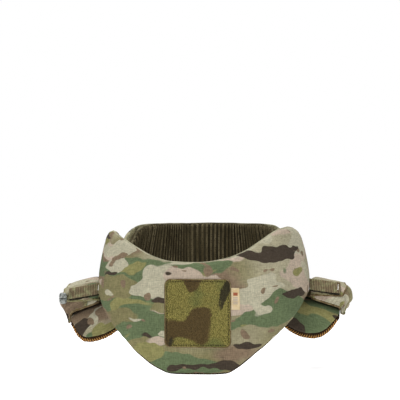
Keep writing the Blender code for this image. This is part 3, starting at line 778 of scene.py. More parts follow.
def set_points(piece: bpy.types.Object, points: np.ndarray) -> None:
    """Writes the piece's points."""
    piece.data.vertices.foreach_set("co", points.ravel())
    piece.data.update()


def copy_node(node: str, name: str) -> bpy.types.Object:
    """Copies a CAD node's mesh into a new piece, with its loose triangles merged.

    Args:
        node: the CAD node.
        name: the new piece's name.

    Returns:
        The new piece.
    """
    made = link_piece(name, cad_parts[node].data.copy())
    made.data.name = name
    made.data.materials.clear()
    with editing(made):
        bpy.ops.mesh.remove_doubles(threshold=MERGE)
    return made


def make_block(
    name: str, middle: Vector, size: Sequence[float], cuts: int, round_off: float = 0.0
) -> bpy.types.Object:
    """Makes a block whose faces are cut evenly.

    Args:
        name: the piece's name.
        middle: its middle.
        size: its three measures.
        cuts: cuts across each face.
        round_off: how much is rounded off its edges before that.

    Returns:
        The piece.
    """
    made = add_primitive(bpy.ops.mesh.primitive_cube_add, name, size=1.0, location=middle, scale=size)
    bpy.ops.object.transform_apply(location=True, rotation=True, scale=True)
    with editing(made):
        if round_off:
            bpy.ops.mesh.select_mode(type="EDGE")
            bpy.ops.mesh.select_all(action="SELECT")
            bpy.ops.mesh.bevel(offset=round_off, segments=4, affect="EDGES")
            bpy.ops.mesh.select_all(action="SELECT")
        bpy.ops.mesh.subdivide(number_cuts=cuts)
    return made


def remesh(piece: bpy.types.Object, voxel: float, smoothing: int) -> None:
    """Gives a piece even faces of a voxel's size, then smooths it some rounds."""
    apply_modifier(piece, "REMESH", mode="VOXEL", voxel_size=voxel)
    apply_modifier(piece, "SMOOTH", factor=0.5, iterations=smoothing)


@dataclass(frozen=True)
class Stuffing:
    """How a padded piece is filled."""

    voxel: float = 3.6 * MM
    shrink: float = 1.3 * MM  # how far it starts inside its solid
    cap: float = 2.4 * MM  # how far the filling may push a point
    pressure: float = 4.0
    spare: float = 0.02  # spare cloth, which makes the soft creases
    quality: int = 5
    frames: int = 18


def stuff(piece: bpy.types.Object, stuffing: Stuffing) -> None:
    """Fills a closed cloth shell as a cushion is filled.

    Args:
        piece: the shell.
        stuffing: its values.
    """
    remesh(piece, stuffing.voxel, 3)
    apply_modifier(piece, "DISPLACE", strength=-stuffing.shrink, mid_level=0.0)
    start = get_points(piece)
    use(piece)
    cloth = piece.modifiers.new("filling", "CLOTH")
    settings = cloth.settings
    settings.quality = stuffing.quality
    settings.use_pressure = True
    settings.uniform_pressure_force = stuffing.pressure
    settings.shrink_min = -stuffing.spare
    settings.effector_weights.gravity = 0.0
    cloth.point_cache.frame_start = 1
    cloth.point_cache.frame_end = stuffing.frames
    for number in range(1, stuffing.frames + 1):
        bpy.context.scene.frame_set(number)
    held = piece.evaluated_get(bpy.context.evaluated_depsgraph_get()).data
    flat = np.empty(len(held.vertices) * 3)
    held.vertices.foreach_get("co", flat)
    push = flat.reshape(-1, 3) - start
    length = np.linalg.norm(push, axis=1, keepdims=True)
    allowed = stuffing.cap * np.tanh(length / stuffing.cap)
    piece.modifiers.remove(cloth)
    bpy.context.scene.frame_set(1)
    set_points(piece, start + push / np.maximum(length, 1e-9) * allowed)
    apply_modifier(piece, "SMOOTH", factor=0.4, iterations=2)
    apply_modifier(piece, "SUBSURF", levels=1, render_levels=1)


def push_points(piece: bpy.types.Object, push: Callable[[np.ndarray, np.ndarray], np.ndarray]) -> None:
    """Moves a piece's points by a function of their places and normals.

    Args:
        piece: the piece.
        push: takes points and normals and gives the moves.
    """
    flat = np.empty(len(piece.data.vertices) * 3)
    piece.data.vertices.foreach_get("normal", flat)
    points = get_points(piece)
    set_points(piece, points + push(points, flat.reshape(-1, 3)))


def ripple(points: np.ndarray, scale: float, seed: float) -> np.ndarray:
    """A smooth wandering value between about -1 and 1 at each point, of so many waves to the metre."""
    shift = Vector((seed, seed * 0.7, -seed))
    return np.array([noise.noise(Vector(point) * scale + shift) for point in points])


def write_cloth(piece: bpy.types.Object, places: np.ndarray) -> None:
    """Keeps each point's place in the flat cloth as an attribute."""
    attribute = piece.data.attributes.new(CLOTH, "FLOAT_VECTOR", "POINT")
    attribute.data.foreach_set("vector", places.astype(np.float32).ravel())


def finish_piece(
    piece: bpy.types.Object, slot: str, *finishes: Finish, replaces: Sequence[str] = ()
) -> bpy.types.Object:
    """Dresses a piece and fastens it to the part.

    Args:
        piece: the piece.
        slot: the record's material slot; not used.
        finishes: its finishes, in the order of its faces' material numbers.
        replaces: the CAD nodes that it stands for.

    Returns:
        The piece.
    """
    for finish in finishes:
        piece.data.materials.append(finish.material())
    use(piece)
    bpy.ops.object.shade_smooth_by_angle(angle=SMOOTH_BELOW)
    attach(piece, "root")
    if replaces:
        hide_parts(*replaces)
    LOG.info("%s: %d faces", piece.name, len(piece.data.polygons))
    return piece


def edge_path(
    places: np.ndarray, points: np.ndarray, reach: float, edge: Edge, count: int = 150
) -> list[Vector]:
    """The line along a piece's low or high edge.

    Args:
        places: cloth places of the points, along first and height third.
        points: the points.
        reach: how far it goes to both sides of the piece's middle.
        edge: the edge to follow.
        count: its number of points.

    Returns:
        The line's points.
    """
    line = []
    near_enough, rim = 2 * reach / count, 0.6 * MM
    for along in np.linspace(-reach, reach, count):
        near = np.flatnonzero(np.abs(places[:, 0] - along) < near_enough)
        heights = places[near, 2] * edge.value
        best = near[heights > heights.max() - rim]
        line.append(Vector(points[best].mean(axis=0)))
    return line


def smooth_line(line: Sequence[Vector], rounds: int, closed: bool = False) -> list[Vector]:
    """Evens out a line's points.

    Args:
        line: the points.
        rounds: how often each moves to the middle of its neighbours.
        closed: joins the last to the first.

    Returns:
        The new points.
    """
    points = [point.copy() for point in line]
    last = len(points) - 1
    for _ in range(rounds):
        points = [
            points[i]
            if not closed and i in (0, last)
            else (points[i - 1] + points[i] * 2 + points[(i + 1) % (last + 1)]) / 4
            for i in range(last + 1)
        ]
    return points


def make_tube(
    name: str, line: Sequence[Vector], radius: float, closed: bool = False, sides: int = 2
) -> bpy.types.Object:
    """Makes a round cord or binding along a line.

    Args:
        name: the piece's name.
        line: the points that it follows.
        radius: its radius.
        closed: joins its ends.
        sides: how round it is.

    Returns:
        The piece, as a mesh.
    """
    curve = bpy.data.curves.new(name, "CURVE")
    curve.dimensions = "3D"
    curve.bevel_depth = radius
    curve.bevel_resolution = sides
    curve.use_fill_caps = not closed
    spline = curve.splines.new("POLY")
    spline.points.add(len(line) - 1)
    spline.points.foreach_set("co", [value for point in line for value in (*point, 1.0)])
    spline.use_cyclic_u = closed
    made = link_piece(name, curve)
    use(made)
    bpy.ops.object.convert(target="MESH")
    made.data.name = name
    return made


def spaced(line: Sequence[Vector], step: float, closed: bool = False) -> list[tuple[Vector, Vector]]:
    """Places and directions at even steps along a line.

    Args:
        line: its points.
        step: the step.
        closed: goes back to the first point.

    Returns:
        (place, direction) pairs.
    """
    ends = list(line[1:]) + ([line[0]] if closed else [])
    found, left = [], step / 2
    for first, last in zip(line, ends):
        length = (last - first).length
        while left < length:
            found.append((first.lerp(last, left / length), (last - first).normalized()))
            left += step
        left -= length
    return found


def repeat(name: str, model: bpy.types.Object, places: Sequence[Matrix]) -> bpy.types.Object:
    """Copies a small model to many places, as one piece, and removes the model.

    Args:
        name: the piece's name.
        model: what is copied.
        places: where each copy goes.

    Returns:
        The piece.
    """
    points = np.c_[get_points(model), np.ones(len(model.data.vertices))]
    faces = [tuple(polygon.vertices) for polygon in model.data.polygons]
    stack = np.concatenate([points @ np.array(place).T[:, :3] for place in places])
    count = len(points)
    every = [tuple(v + count * i for v in face) for i in range(len(places)) for face in faces]
    mesh = bpy.data.meshes.new(name)
    mesh.from_pydata(stack.tolist(), [], every)
    bpy.data.objects.remove(model)
    return link_piece(name, mesh)


def frame_at(place: Vector, run: Vector, out: Vector) -> Matrix:
    """A matrix at a place whose X runs along and whose Z points roughly out."""
    run = run.normalized()
    across = out.cross(run).normalized()
    return Matrix.Translation(place) @ Matrix((run, across, run.cross(across))).transposed().to_4x4()


class Stitch(NamedTuple):
    """A row's stitches, in metres."""

    step: float  # from one to the next
    length: float
    thick: float


def make_stitch(length: float, thick: float) -> bpy.types.Object:
    """Models one stitch: a short thread that dips at both ends."""
    made = add_primitive(bpy.ops.mesh.primitive_uv_sphere_add, "stitch", segments=6, ring_count=4, radius=0.5)
    points = get_points(made)[:, [2, 0, 1]] * (length, thick, thick)
    lift, dip = 0.35 * thick, 0.8 * thick
    points[:, 2] += lift - dip * (2 * points[:, 0] / length) ** 2
    set_points(made, points)
    return made


def refine(points: np.ndarray, times: int) -> np.ndarray:
    """Puts rows between a grid's rows, on smooth curves through its points.

    Args:
        points: the grid, whose first axis is refined.
        times: rows for each one.

    Returns:
        The finer grid.
    """
    ahead, behind = 2 * points[:1] - points[1:2], 2 * points[-1:] - points[-2:-1]
    line = np.concatenate([ahead, points, behind])
    a, b, c, d = (x[:, None] for x in (line[:-3], line[1:-2], line[2:-1], line[3:]))
    t = (np.arange(times) / times).reshape(1, -1, *[1] * (points.ndim - 1))
    rows = 2 * b + (c - a) * t + (2 * a - 5 * b + 4 * c - d) * t**2 + (3 * b - a - 3 * c + d) * t**3
    return np.concatenate([rows.reshape(-1, *points.shape[1:]) / 2, points[-1:]])


def grid_normals(grid: np.ndarray) -> np.ndarray:
    """The direction that a grid's face looks in, at each of its points."""
    out = np.cross(np.gradient(grid, axis=0), np.gradient(grid, axis=1))
    return out / np.maximum(np.linalg.norm(out, axis=2, keepdims=True), 1e-12)


def lay_grid(name: str, grid: np.ndarray, places: np.ndarray, wall: float) -> bpy.types.Object:
    """Lays a flat grid of cloth onto a grid of points and gives it its thickness.

    Args:
        name: the piece's name.
        grid: the points of its outer face, first axis across and second along.
        places: the same points' places in the flat cloth.
        wall: the cloth's thickness, inwards.

    Returns:
        The piece.
    """
    across, along = grid.shape[0] - 1, grid.shape[1] - 1
    add_grid = bpy.ops.mesh.primitive_grid_add
    made = add_primitive(add_grid, name, x_subdivisions=across, y_subdivisions=along, size=2.0)
    flat = get_points(made)
    i = np.rint((flat[:, 0] + 1) / 2 * across).astype(int)
    j = np.rint((flat[:, 1] + 1) / 2 * along).astype(int)
    set_points(made, grid[i, j])
    write_cloth(made, places[i, j])
    apply_modifier(made, "SOLIDIFY", thickness=wall, offset=-1.0)
    return made


class Skin:
    """The surface of CAD nodes or pieces, for laying things on it."""

    def __init__(self, piece: bpy.types.Object) -> None:
        """Reads the mesh of a piece or CAD node."""
        faces = [tuple(polygon.vertices) for polygon in piece.data.polygons]
        self.tree = BVHTree.FromPolygons([v.co.copy() for v in piece.data.vertices], faces)

    def hit(self, start: Vector, way: Vector) -> tuple[Vector, Vector] | None:
        """Where a line from start first meets the surface, and the surface's outward direction there."""
        place, normal, _, _ = self.tree.ray_cast(start, way)
        return None if place is None else (place, normal)

    def near(self, point: Vector) -> tuple[Vector, Vector]:
        """The nearest place on the surface and its outward direction."""
        place, normal, _, _ = self.tree.find_nearest(point)
        return place, normal


def sew(
    name: str, line: Sequence[Vector], skin: Skin, stitch: Stitch, closed: bool = False
) -> bpy.types.Object:
    """Sews a row of stitches along a line on a surface.

    Args:
        name: the piece's name.
        line: the row.
        skin: the surface.
        stitch: its stitches.
        closed: joins the row's ends.

    Returns:
        The stitches.
    """
    places = []
    for point, run in spaced(line, stitch.step, closed):
        place, out = skin.near(point)
        places.append(frame_at(place, run, out))
    return repeat(name, make_stitch(stitch.length, stitch.thick), places)


# ---------------------------------------------------------------------------- walls round the neck
@dataclass(frozen=True)
class WallPlan:
    """Plan of a wall: straight across the middle, round a corner and straight along each side."""

    middle_x: float
    flat_half: float
    face: float  # distance of the outer face from the neck's axis
    radius: float
    facing: float  # -1 at the front and 1 at the back
    lean_from: float = 8.0 * MM  # level over which the wall leans in
    lean: tuple[float, float] = (0.12, 1.7)  # its lean for each metre up, and for each metre squared

    def unroll(self, points: np.ndarray) -> np.ndarray:
        """Places in the flat cloth.

        Args:
            points: points in the part's frame.

        Returns:
            Rows of along, depth and height.
        """
        x = points[:, 0] - self.middle_x
        past, ahead = np.abs(x) - self.flat_half, points[:, 1] * self.facing - (self.face - self.radius)
        turn = np.arctan2(past, np.maximum(ahead, 1e-9))
        along = np.where(
            past <= 0,
            np.abs(x),
            self.flat_half
            + np.where(ahead > 0, self.radius * turn, self.radius * math.pi / 2 - ahead),
        )
        depth = np.where(
            past <= 0,
            self.radius - ahead,
            self.radius - np.where(ahead > 0, np.hypot(past, ahead), past),
        )
        return np.c_[np.copysign(along, x), depth, points[:, 2]]

    def line_inside(self, piece: bpy.types.Object, places: np.ndarray, deeper: float) -> None:
        """Gives the wall's inner faces the piece's second finish.

        Args:
            piece: the wall.
            places: its points' places in the flat cloth.
            deeper: depth in the wall from which its faces count as inner ones.
        """
        over = np.clip(places[:, 2] - self.lean_from, 0.0, None)
        deep = places[:, 1] - self.lean[0] * over - self.lean[1] * over**2 > deeper
        for polygon in piece.data.polygons:
            x = polygon.center.x - self.middle_x
            past = max(abs(x) - self.flat_half, 0.0)
            ahead = max(polygon.center.y * self.facing - self.face + self.radius, 1e-6)
            out = Vector((math.copysign(past, x), ahead * self.facing, 0.0)).normalized()
            faces_out = polygon.normal.dot(out) >= 0.5
            polygon.material_index = int(all(deep[v] for v in polygon.vertices) and not faces_out)


@dataclass
class ThroatBib:
    """The padded bib in front of the throat, with its piped top edge and bound hem."""

    plan: WallPlan = WallPlan(0.0, 0.050, 0.122, 0.0782, -1.0)
    lining: float = 8.7 * MM  # depth in the wall from which its face is mesh
    half_length: float = 0.199
    wave: float = 0.7 * MM
    waves: float = 30.0  # soft waves to the metre
    calm_half: float = 45.0 * MM  # half-width of the front, where the waves are low
    calm_share: float = 0.35
    calm_fade: float = 50.0 * MM
    piping: float = 1.1 * MM
    binding: float = 1.7 * MM

    def crease(self, points: np.ndarray, normals: np.ndarray) -> np.ndarray:
        """Low soft waves, strongest towards the sides."""
        side = np.clip((np.abs(points[:, 0]) - self.calm_half) / self.calm_fade, 0.0, 1.0)
        share = self.calm_share + (1.0 - self.calm_share) * side
        wave = ripple(points * (1.0, 1.0, 0.6), self.waves, 4.2) * share
        return normals * (wave * self.wave)[:, None]

    def build(self) -> None:
        """Fills the bib, then lays piping along its top edge and brown mesh round its hem."""
        shell = copy_node("throat_bib", "bib_shell")
        stuff(shell, Stuffing())
        push_points(shell, self.crease)
        points = get_points(shell)
        places = self.plan.unroll(points)
        write_cloth(shell, places)
        self.plan.line_inside(shell, places, self.lining)
        finish_piece(shell, "camo_cloth", BIB_CLOTH, SPACER, replaces=["throat_bib"])
        for name, edge, radius, slot, finish in (
            # the pale piping also stands in for the highlight along the top rim
            ("bib_piping", Edge.HIGH, self.piping, "camo_cloth", HIGHLIGHT_PIPING),
            ("bib_bound_hem", Edge.LOW, self.binding, "brown_mesh", BROWN_KNIT),
        ):
            line = edge_path(places, points, self.half_length, edge, 130)
            finish_piece(make_tube(name, smooth_line(line, 4), radius), slot, finish)


@dataclass
class LoopPatch:
    """The square of loop pile sewn on the bib's flat front."""

    corner: float = 7.0 * MM
    cell: float = 0.75 * MM
    height_share: float = 0.80  # of the solid's thickness, which the pile fills
    seam: float = 2.5 * MM  # from the patch's edge to its row of stitches
    seam_half: float = 0.6 * MM
    seam_share: float = 0.42  # of the solid's thickness, by which the seam is pressed in
    round_over: float = 1.2 * MM  # from the edge to the full height
    curl: float = 0.30 * MM
    edging: float = 0.75 * MM
    stitch: Stitch = Stitch(2.9 * MM, 2.2 * MM, 1.0 * MM)
    loops: int = 3600
    loop_size: float = 0.75 * MM
    loop_thread: float = 0.13 * MM
    loop_lift: float = 0.35 * MM  # how deep a loop's middle is in the pile
    loop_sizes: tuple[float, float] = (0.6, 1.1)
    low: Vector = field(init=False)
    high: Vector = field(init=False)

    def __post_init__(self) -> None:
        """Reads the patch's place from the frame."""
        self.low, self.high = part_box("loop_patch")
        self.middle = (self.low + self.high) / 2
        self.half = (self.high - self.low) / 2

    def build(self) -> None:
        """Builds the pile, its edging, its stitches and its loose loops."""
        skin = Skin(self.build_pile())
        turned = [point + Vector((0.0, 1.2 * MM, 0.0)) for point in self.outline(0.35 * MM)]
        finish_piece(make_tube("patch_edging", turned, self.edging, True), "loop_pile", BINDING)
        row = sew("patch_stitches", self.outline(self.seam), skin, self.stitch, closed=True)
        finish_piece(row, "loop_pile", DARK_THREAD)
        self.build_loops(skin)

    def inside(self, x: float, z: float) -> float:
        """How far a place is inside the patch's rounded outline."""
        across = abs(x - self.middle.x) - (self.half.x - self.corner)
        up = abs(z - self.middle.z) - (self.half.z - self.corner)
        beyond = math.hypot(max(across, 0.0), max(up, 0.0))
        return self.corner - beyond - min(max(across, up), 0.0)

    def pile_point(self, u: float, v: float) -> tuple[float, float, float]:
        """Where a point of the square grid goes on the rounded pad.

        Args:
            u: its place across, from -1 to 1.
            v: its place up, from -1 to 1.

        Returns:
            The point.
        """
        edge = max(abs(u), abs(v))
        if edge > 1e-9:
            turn = math.hypot(u, v)
            limit = self.ray(u / turn, v / turn, self.corner / self.half.x)
            u, v = (c / turn * limit * edge for c in (u, v))
        x, z = self.middle.x + u * self.half.x, self.middle.z + v * self.half.z
        inside = self.inside(x, z)
        rise = min(1.0, max(inside, 0.0) / self.round_over) ** 0.5
        seam = math.exp(-(((inside - self.seam) / self.seam_half) ** 2))
        curl = noise.noise(Vector((x, z, 0.0)) * 700.0) + 0.6 * noise.noise(Vector((x, z, 3.0)) * 1500.0)
        share = rise * (self.height_share - self.seam_share * seam)
        return x, self.high.y - (self.high.y - self.low.y) * share - self.curl * curl * rise, z

    def build_pile(self) -> bpy.types.Object:
        """Shapes a grid into the rounded pad, pressed in along its seam."""
        cuts = round(2 * self.half.x / self.cell)
        add_grid = bpy.ops.mesh.primitive_grid_add
        pile = add_primitive(add_grid, "patch_pile", x_subdivisions=cuts, y_subdivisions=cuts, size=2.0)
        set_points(pile, np.array([self.pile_point(u, v) for u, v, _ in get_points(pile)]))
        with editing(pile):
            bpy.ops.mesh.normals_make_consistent(inside=False)
            bpy.ops.mesh.select_all(action="DESELECT")
            bpy.ops.mesh.select_non_manifold()
            bpy.ops.mesh.edge_face_add()
            bpy.ops.mesh.select_all(action="SELECT")
            bpy.ops.mesh.normals_make_consistent(inside=False)
        return finish_piece(pile, "loop_pile", PILE, replaces=["loop_patch"])

    def ray(self, u: float, v: float, share: float) -> float:
        """How far the rounded square reaches in a direction, as a share of its half-width.

        Args:
            u: the direction across.
            v: the direction up.
            share: the corner's radius as a share of the half-width.

        Returns:
            The reach.
        """
        a, b = abs(u), abs(v)
        reach = 1.0 / max(a, b)
        core = 1.0 - share
        if min(a, b) * reach > core:
            mid = core * (a + b)
            reach = mid + math.sqrt(mid**2 - 2 * core**2 + share**2)
        return reach

    def outline(self, inset: float, count: int = 24) -> list[Vector]:
        """The patch's rounded outline, drawn in by an inset, on its front face."""
        radius = self.corner - inset
        line = []
        for quarter in range(4):
            sx, sz = ((1, 1), (-1, 1), (-1, -1), (1, -1))[quarter]
            for i in range(count + 1):
                turn = math.radians(90 * quarter + 90 * i / count)
                x = self.middle.x + sx * (self.half.x - self.corner) + radius * math.cos(turn)
                z = self.middle.z + sz * (self.half.z - self.corner) + radius * math.sin(turn)
                line.append(Vector((x, self.low.y, z)))
        return line

    def build_loops(self, skin: Skin) -> None:
        """Curls single loops out of the pile.

        Args:
            skin: the pile's surface.
        """
        rng = random.Random(11)
        model = add_primitive(
            bpy.ops.mesh.primitive_torus_add,
            "loop",
            major_segments=7,
            minor_segments=3,
            major_radius=self.loop_size,
            minor_radius=self.loop_thread,
        )
        places = []
        while len(places) < self.loops:
            x = rng.uniform(self.low.x, self.high.x)
            z = rng.uniform(self.low.z, self.high.z)
            if self.inside(x, z) < self.seam + 0.8 * MM:
                continue
            found = skin.hit(Vector((x, self.low.y - 0.01, z)), Vector((0.0, 1.0, 0.0)))
            if found is None:
                continue
            run = Vector((rng.gauss(0, 1), rng.gauss(0, 0.35), rng.gauss(0, 1)))
            out = Vector((rng.gauss(0, 1), rng.gauss(0, 0.5), rng.gauss(0, 1)))
            turned = frame_at(found[0] + Vector((0, self.loop_lift, 0)), run, out)
            places.append(turned @ Matrix.Scale(rng.uniform(*self.loop_sizes), 4))
        finish_piece(repeat("patch_loops", model, places), "loop_pile", PILE)


@dataclass
class SideLabel:
    """The plain folded ribbon tag beside the patch."""

    fold: float = 0.35 * MM  # radius of its folded edges
    lift: float = 0.5 * MM
    sway: float = 0.4 * MM
    hem: float = 1.5 * MM  # from its ends to the row of stitches
    seam: float = 1.1 * MM  # from its sewn side to the row
    stitch: Stitch = Stitch(2.6 * MM, 1.9 * MM, 0.5 * MM)

    def build(self) -> None:
        """Folds the ribbon and sews it down."""
        low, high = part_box("side_label")
        size = high - low
        tag = make_block("label_ribbon", (low + high) / 2, size, 9)
        apply_modifier(tag, "BEVEL", width=self.fold, segments=2, limit_method="ANGLE")

        def curl(points: np.ndarray, _: np.ndarray) -> np.ndarray:
            """The free edge lifts and the ribbon ripples."""
            free = (points[:, 0] - low.x) / size.x
            up = (points[:, 2] - low.z) / size.z
            push = np.zeros_like(points)
            push[:, 1] = self.lift * (free**2 * np.sin(up * 7.0) - free**3)
            push[:, 0] = self.sway * np.sin(up * 4.0 + 0.5) * free
            return push

        push_points(tag, curl)
        finish_piece(tag, "label_cloth", RIBBON, replaces=["side_label"])
        levels = np.linspace(high.z - self.hem, low.z + self.hem, 12)
        line = [Vector((low.x + self.seam, low.y, level)) for level in levels]
        finish_piece(sew("label_stitches", line, Skin(tag), self.stitch), "label_cloth", WHITE_THREAD)


@dataclass
class RearCollar:
    """The padded wall round the back of the neck, with its folded spacer liner."""

    plan: WallPlan = WallPlan(-0.003, 0.025, 0.098, 0.085, 1.0)
    half_length: float = 0.224
    piping: float = 1.0 * MM
    lining: float = 4.6 * MM  # depth in the wall from which its top and inner face are mesh
    liner_cell: float = 1.3 * MM
    liner_half: float = 0.212  # half-length of the tape on the liner's top edge
    tape: float = 1.5 * MM
    fold_pitch: float = 5.4 * MM
    fold_depth: float = 1.5 * MM
    fold_wander: float = 5.1  # how far a fold's turn strays, in radians

    def build(self) -> None:
        """Builds the shell, its piping, and the liner."""
        shell = copy_node("rear_collar", "collar_shell")
        stuff(shell, Stuffing(voxel=3.4 * MM, shrink=1.1 * MM, cap=1.8 * MM))
        points = get_points(shell)
        places = self.plan.unroll(points)
        write_cloth(shell, places)
        self.plan.line_inside(shell, places, self.lining)
        finish_piece(shell, "camo_cloth", COLLAR_CLOTH, SPACER, replaces=["rear_collar"])
        line = smooth_line(edge_path(places, points, self.half_length, Edge.HIGH), 4)
        finish_piece(make_tube("collar_piping", line, self.piping), "camo_cloth", COLLAR_PIPING)
        self.build_liner()

    def build_liner(self) -> None:
        """Folds the liner into upright ribs of uneven width that lean a little."""
        liner = copy_node("collar_liner", "collar_folds")
        remesh(liner, self.liner_cell, 6)
        along, _, height = self.plan.unroll(get_points(liner)).T
        wander = ripple(np.c_[along, along * 0, height * 0.35], 26.0, 1.3) * self.fold_wander
        wave = np.sin(2 * math.pi * along / self.fold_pitch + wander)
        depth = 0.65 + 0.5 * ripple(np.c_[along, height * 0.3, height * 0], 60.0, 7.7)
        ribs = np.abs(wave) ** 0.7 * np.sign(wave) * depth
        push_points(liner, lambda _, normals: normals * (ribs * self.fold_depth)[:, None])
        # the fold heights, which the liner's finish reads to paint shade in the grooves and highlight on the
        # ridges
        liner.data.attributes.new(FOLD, "FLOAT", "POINT").data.foreach_set("value", ribs.astype(np.float32))
        finish_piece(liner, "spacer_mesh", LINER_KNIT, replaces=["collar_liner"])
        points = get_points(liner)
        line = edge_path(self.plan.unroll(points), points, self.liner_half, Edge.HIGH)
        tape = make_tube("liner_tape", smooth_line(line, 5), self.tape)
        finish_piece(tape, "spacer_mesh", LINER_TAPE)


def build_closure_tabs() -> None:
    """Gives the two hidden closure tabs their hook tape."""
    for side in Side:
        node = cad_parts["closure_tab_" + side.label]
        for slot in node.material_slots:
            slot.material = HOOKS.material()


# ---------------------------------------------------------------------------- shoulders
def ramp(values: np.ndarray, start: float, length: float) -> np.ndarray:
    """Rises from 0 at start to 1 a length further on, or falls from 1 where the length is negative."""
    return np.clip((values - start) / length, 0.0, 1.0)


def bump(values: np.ndarray, middle: float, half: float) -> np.ndarray:
    """A soft bump of 1 round a middle."""
    return np.exp(-(((values - middle) / half) ** 2))


@dataclass(frozen=True)
class Saddle:
    """The level of the pads' top face, which carries the sleeves; in millimetres."""

    crest_y: float = -4.5
    crest_z: float = -13.0
    crest_from: float = 94.0
    slope: float = 0.26
    curl_from: float = 145.0
    curl: float = 0.010
    tilt: float = 0.026
    crown: float = 110.0

    def level(self, x: float, y: float) -> float:
        """The level at a place near the crest."""
        across = max(abs(x), self.crest_from)
        fall = self.slope * (across - self.crest_from) + self.curl * max(across - self.curl_from, 0.0) ** 2
        drop = self.crown - math.sqrt(self.crown**2 - (y - self.crest_y) ** 2)
        return self.crest_z - fall + self.tilt * x - drop


@dataclass
class ShoulderPad:
    """A padded lobe over a shoulder with the mesh edge sewn under it."""

    side: Side
    saddle: Saddle = Saddle()
    slack: float = 0.7 * MM  # depth of the creases down the lobe
    slack_waves: float = 55.0  # to the metre
    swell: float = 4.5 * MM  # how far the pad fills the sleeve over it
    swell_from: float = 118.0 * MM  # distance from the wearer's middle at which the sleeve starts
    swell_y: float = 10.0 * MM
    swell_half: float = 11.0 * MM
    side_swell: float = 4.0 * MM  # and the sleeve beside it
    side_from: float = 150.0 * MM
    side_y: float = 4.0 * MM
    side_half: float = 20.0 * MM
    rim_across: float = 73.0  # in the saddle's millimetres past its crest
    rim_drop: float = 14.0 * MM  # from the saddle's level there to the end of the swell
    lift: float = 2.5 * MM  # how much of the mesh edge shows under the lobe
    lift_height: float = 22.0 * MM
    lift_y: float = -20.0 * MM  # the lobe's part in front of this is lifted
    mesh_cell: float = 1.2 * MM
    mesh_threads: float = 420.0
    mesh_depth: float = 0.45 * MM
    edge_y: float = -22.0 * MM
    edge_from: float = 96.0 * MM  # where the overlocked edge starts and ends
    edge_to: float = 165.5 * MM
    edge_rise: float = 2.2 * MM  # from the mesh's lowest line to the stitches' middle
    edge_lean: tuple[float, float] = (0.45, 0.35)  # of the stitches, and how uneven it is
    edge_stitch: Stitch = Stitch(3.1 * MM, 5.0 * MM, 1.5 * MM)

    def unroll(self, points: np.ndarray) -> np.ndarray:
        """Places in the flat cloth: across, through, and along the saddle."""
        across = np.abs(points[:, 0])
        crest = (self.saddle.crest_z - self.saddle.slope * (across / MM - self.saddle.crest_from)) * MM
        drop = np.maximum(crest - points[:, 2], 0.0)
        run = points[:, 1] - self.saddle.crest_y * MM
        return np.c_[points[:, 0], drop * 0.2, np.copysign(np.abs(run) + drop, run)]

    def crease(self, points: np.ndarray, normals: np.ndarray) -> np.ndarray:
        """Slack creases down the hanging lobe, the swell inside the sleeve and the lifted front."""
        x, y, z = points.T
        across = np.abs(x)
        wave = ripple(points * (1.0, 1.0, 0.45), self.slack_waves, 9.1 + self.side.sign)
        push = normals * (wave * self.slack)[:, None]
        top = np.clip(normals[:, 2], 0.0, 1.0)
        inside = ramp(across, self.swell_from, 8.0 * MM)
        push[:, 2] += self.swell * top * inside * bump(y, self.swell_y, self.swell_half)
        rim = (self.saddle.crest_z - self.saddle.slope * self.rim_across) * MM + self.saddle.tilt * x
        beside = ramp(across, self.side_from, 14.0 * MM) * ramp(z, rim - self.rim_drop, 4.0 * MM)
        push[:, 0] += self.side.sign * self.side_swell * beside * bump(y, self.side_y, self.side_half)
        hang = ramp(z, z.min() + self.lift_height, -self.lift_height)
        push[:, 2] += self.lift * hang * (y < self.lift_y)
        return push

    def build(self) -> None:
        """Builds the pad, the mesh under it and the overlocked edge."""
        label = self.side.label
        pad = copy_node("shoulder_pad_" + label, "pad_shell_" + label)
        stuff(pad, Stuffing(voxel=2.6 * MM, shrink=1.3 * MM, cap=1.7 * MM))
        push_points(pad, self.crease)
        write_cloth(pad, self.unroll(get_points(pad)))
        finish_piece(pad, "camo_cloth", PAD_CLOTHS[self.side], replaces=["shoulder_pad_" + label])
        liner = copy_node("pad_liner_" + label, "pad_mesh_" + label)
        remesh(liner, self.mesh_cell, 3)

        def knit(points: np.ndarray, normals: np.ndarray) -> np.ndarray:
            """The thick uneven threads of the mesh."""
            return normals * (ripple(points, self.mesh_threads, 2.0) * self.mesh_depth)[:, None]

        push_points(liner, knit)
        finish_piece(liner, "brown_mesh", BROWN_KNIT, replaces=["pad_liner_" + label])
        self.build_overlock(liner)

    def build_overlock(self, liner: bpy.types.Object) -> None:
        """Sews slanting stitches over the mesh's front edge.

        Args:
            liner: the mesh.
        """
        points = get_points(liner)
        front = points[points[:, 1] < self.edge_y]
        line = []
        for across in np.linspace(self.edge_from, self.edge_to, 60):
            near = front[np.abs(np.abs(front[:, 0]) - across) < self.mesh_cell]
            if len(near):
                line.append(Vector(near[near[:, 2] < near[:, 2].min() + 0.7 * MM].mean(axis=0)))
        skin = Skin(liner)
        places = []
        for point, run in spaced(smooth_line(line, 3), self.edge_stitch.step):
            up = Vector((0.0, 0.0, 1.0)) - run * run.z
            start = point + up * self.edge_rise + Vector((0.0, -0.02, 0.0))
            found = skin.hit(start, Vector((0.0, 1.0, 0.0)))
            if found is None:
                continue
            place, out = found
            lean = self.edge_lean[0] + self.edge_lean[1] * noise.noise(place * 300.0)
            places.append(frame_at(place, up + run * lean, out))
        stitch = make_stitch(self.edge_stitch.length, self.edge_stitch.thick)
        row = repeat("pad_overlock_" + self.side.label, stitch, places)
        finish_piece(row, "brown_mesh", AMBER_THREAD)


class AcrossRow(NamedTuple):
    """A row of the sleeve's outline, from its inner hem to its outer one; in millimetres."""

    distance: float  # from the wearer's middle
    share: float  # of the height between the hems and the crown
    sag: float  # how far it hangs below that


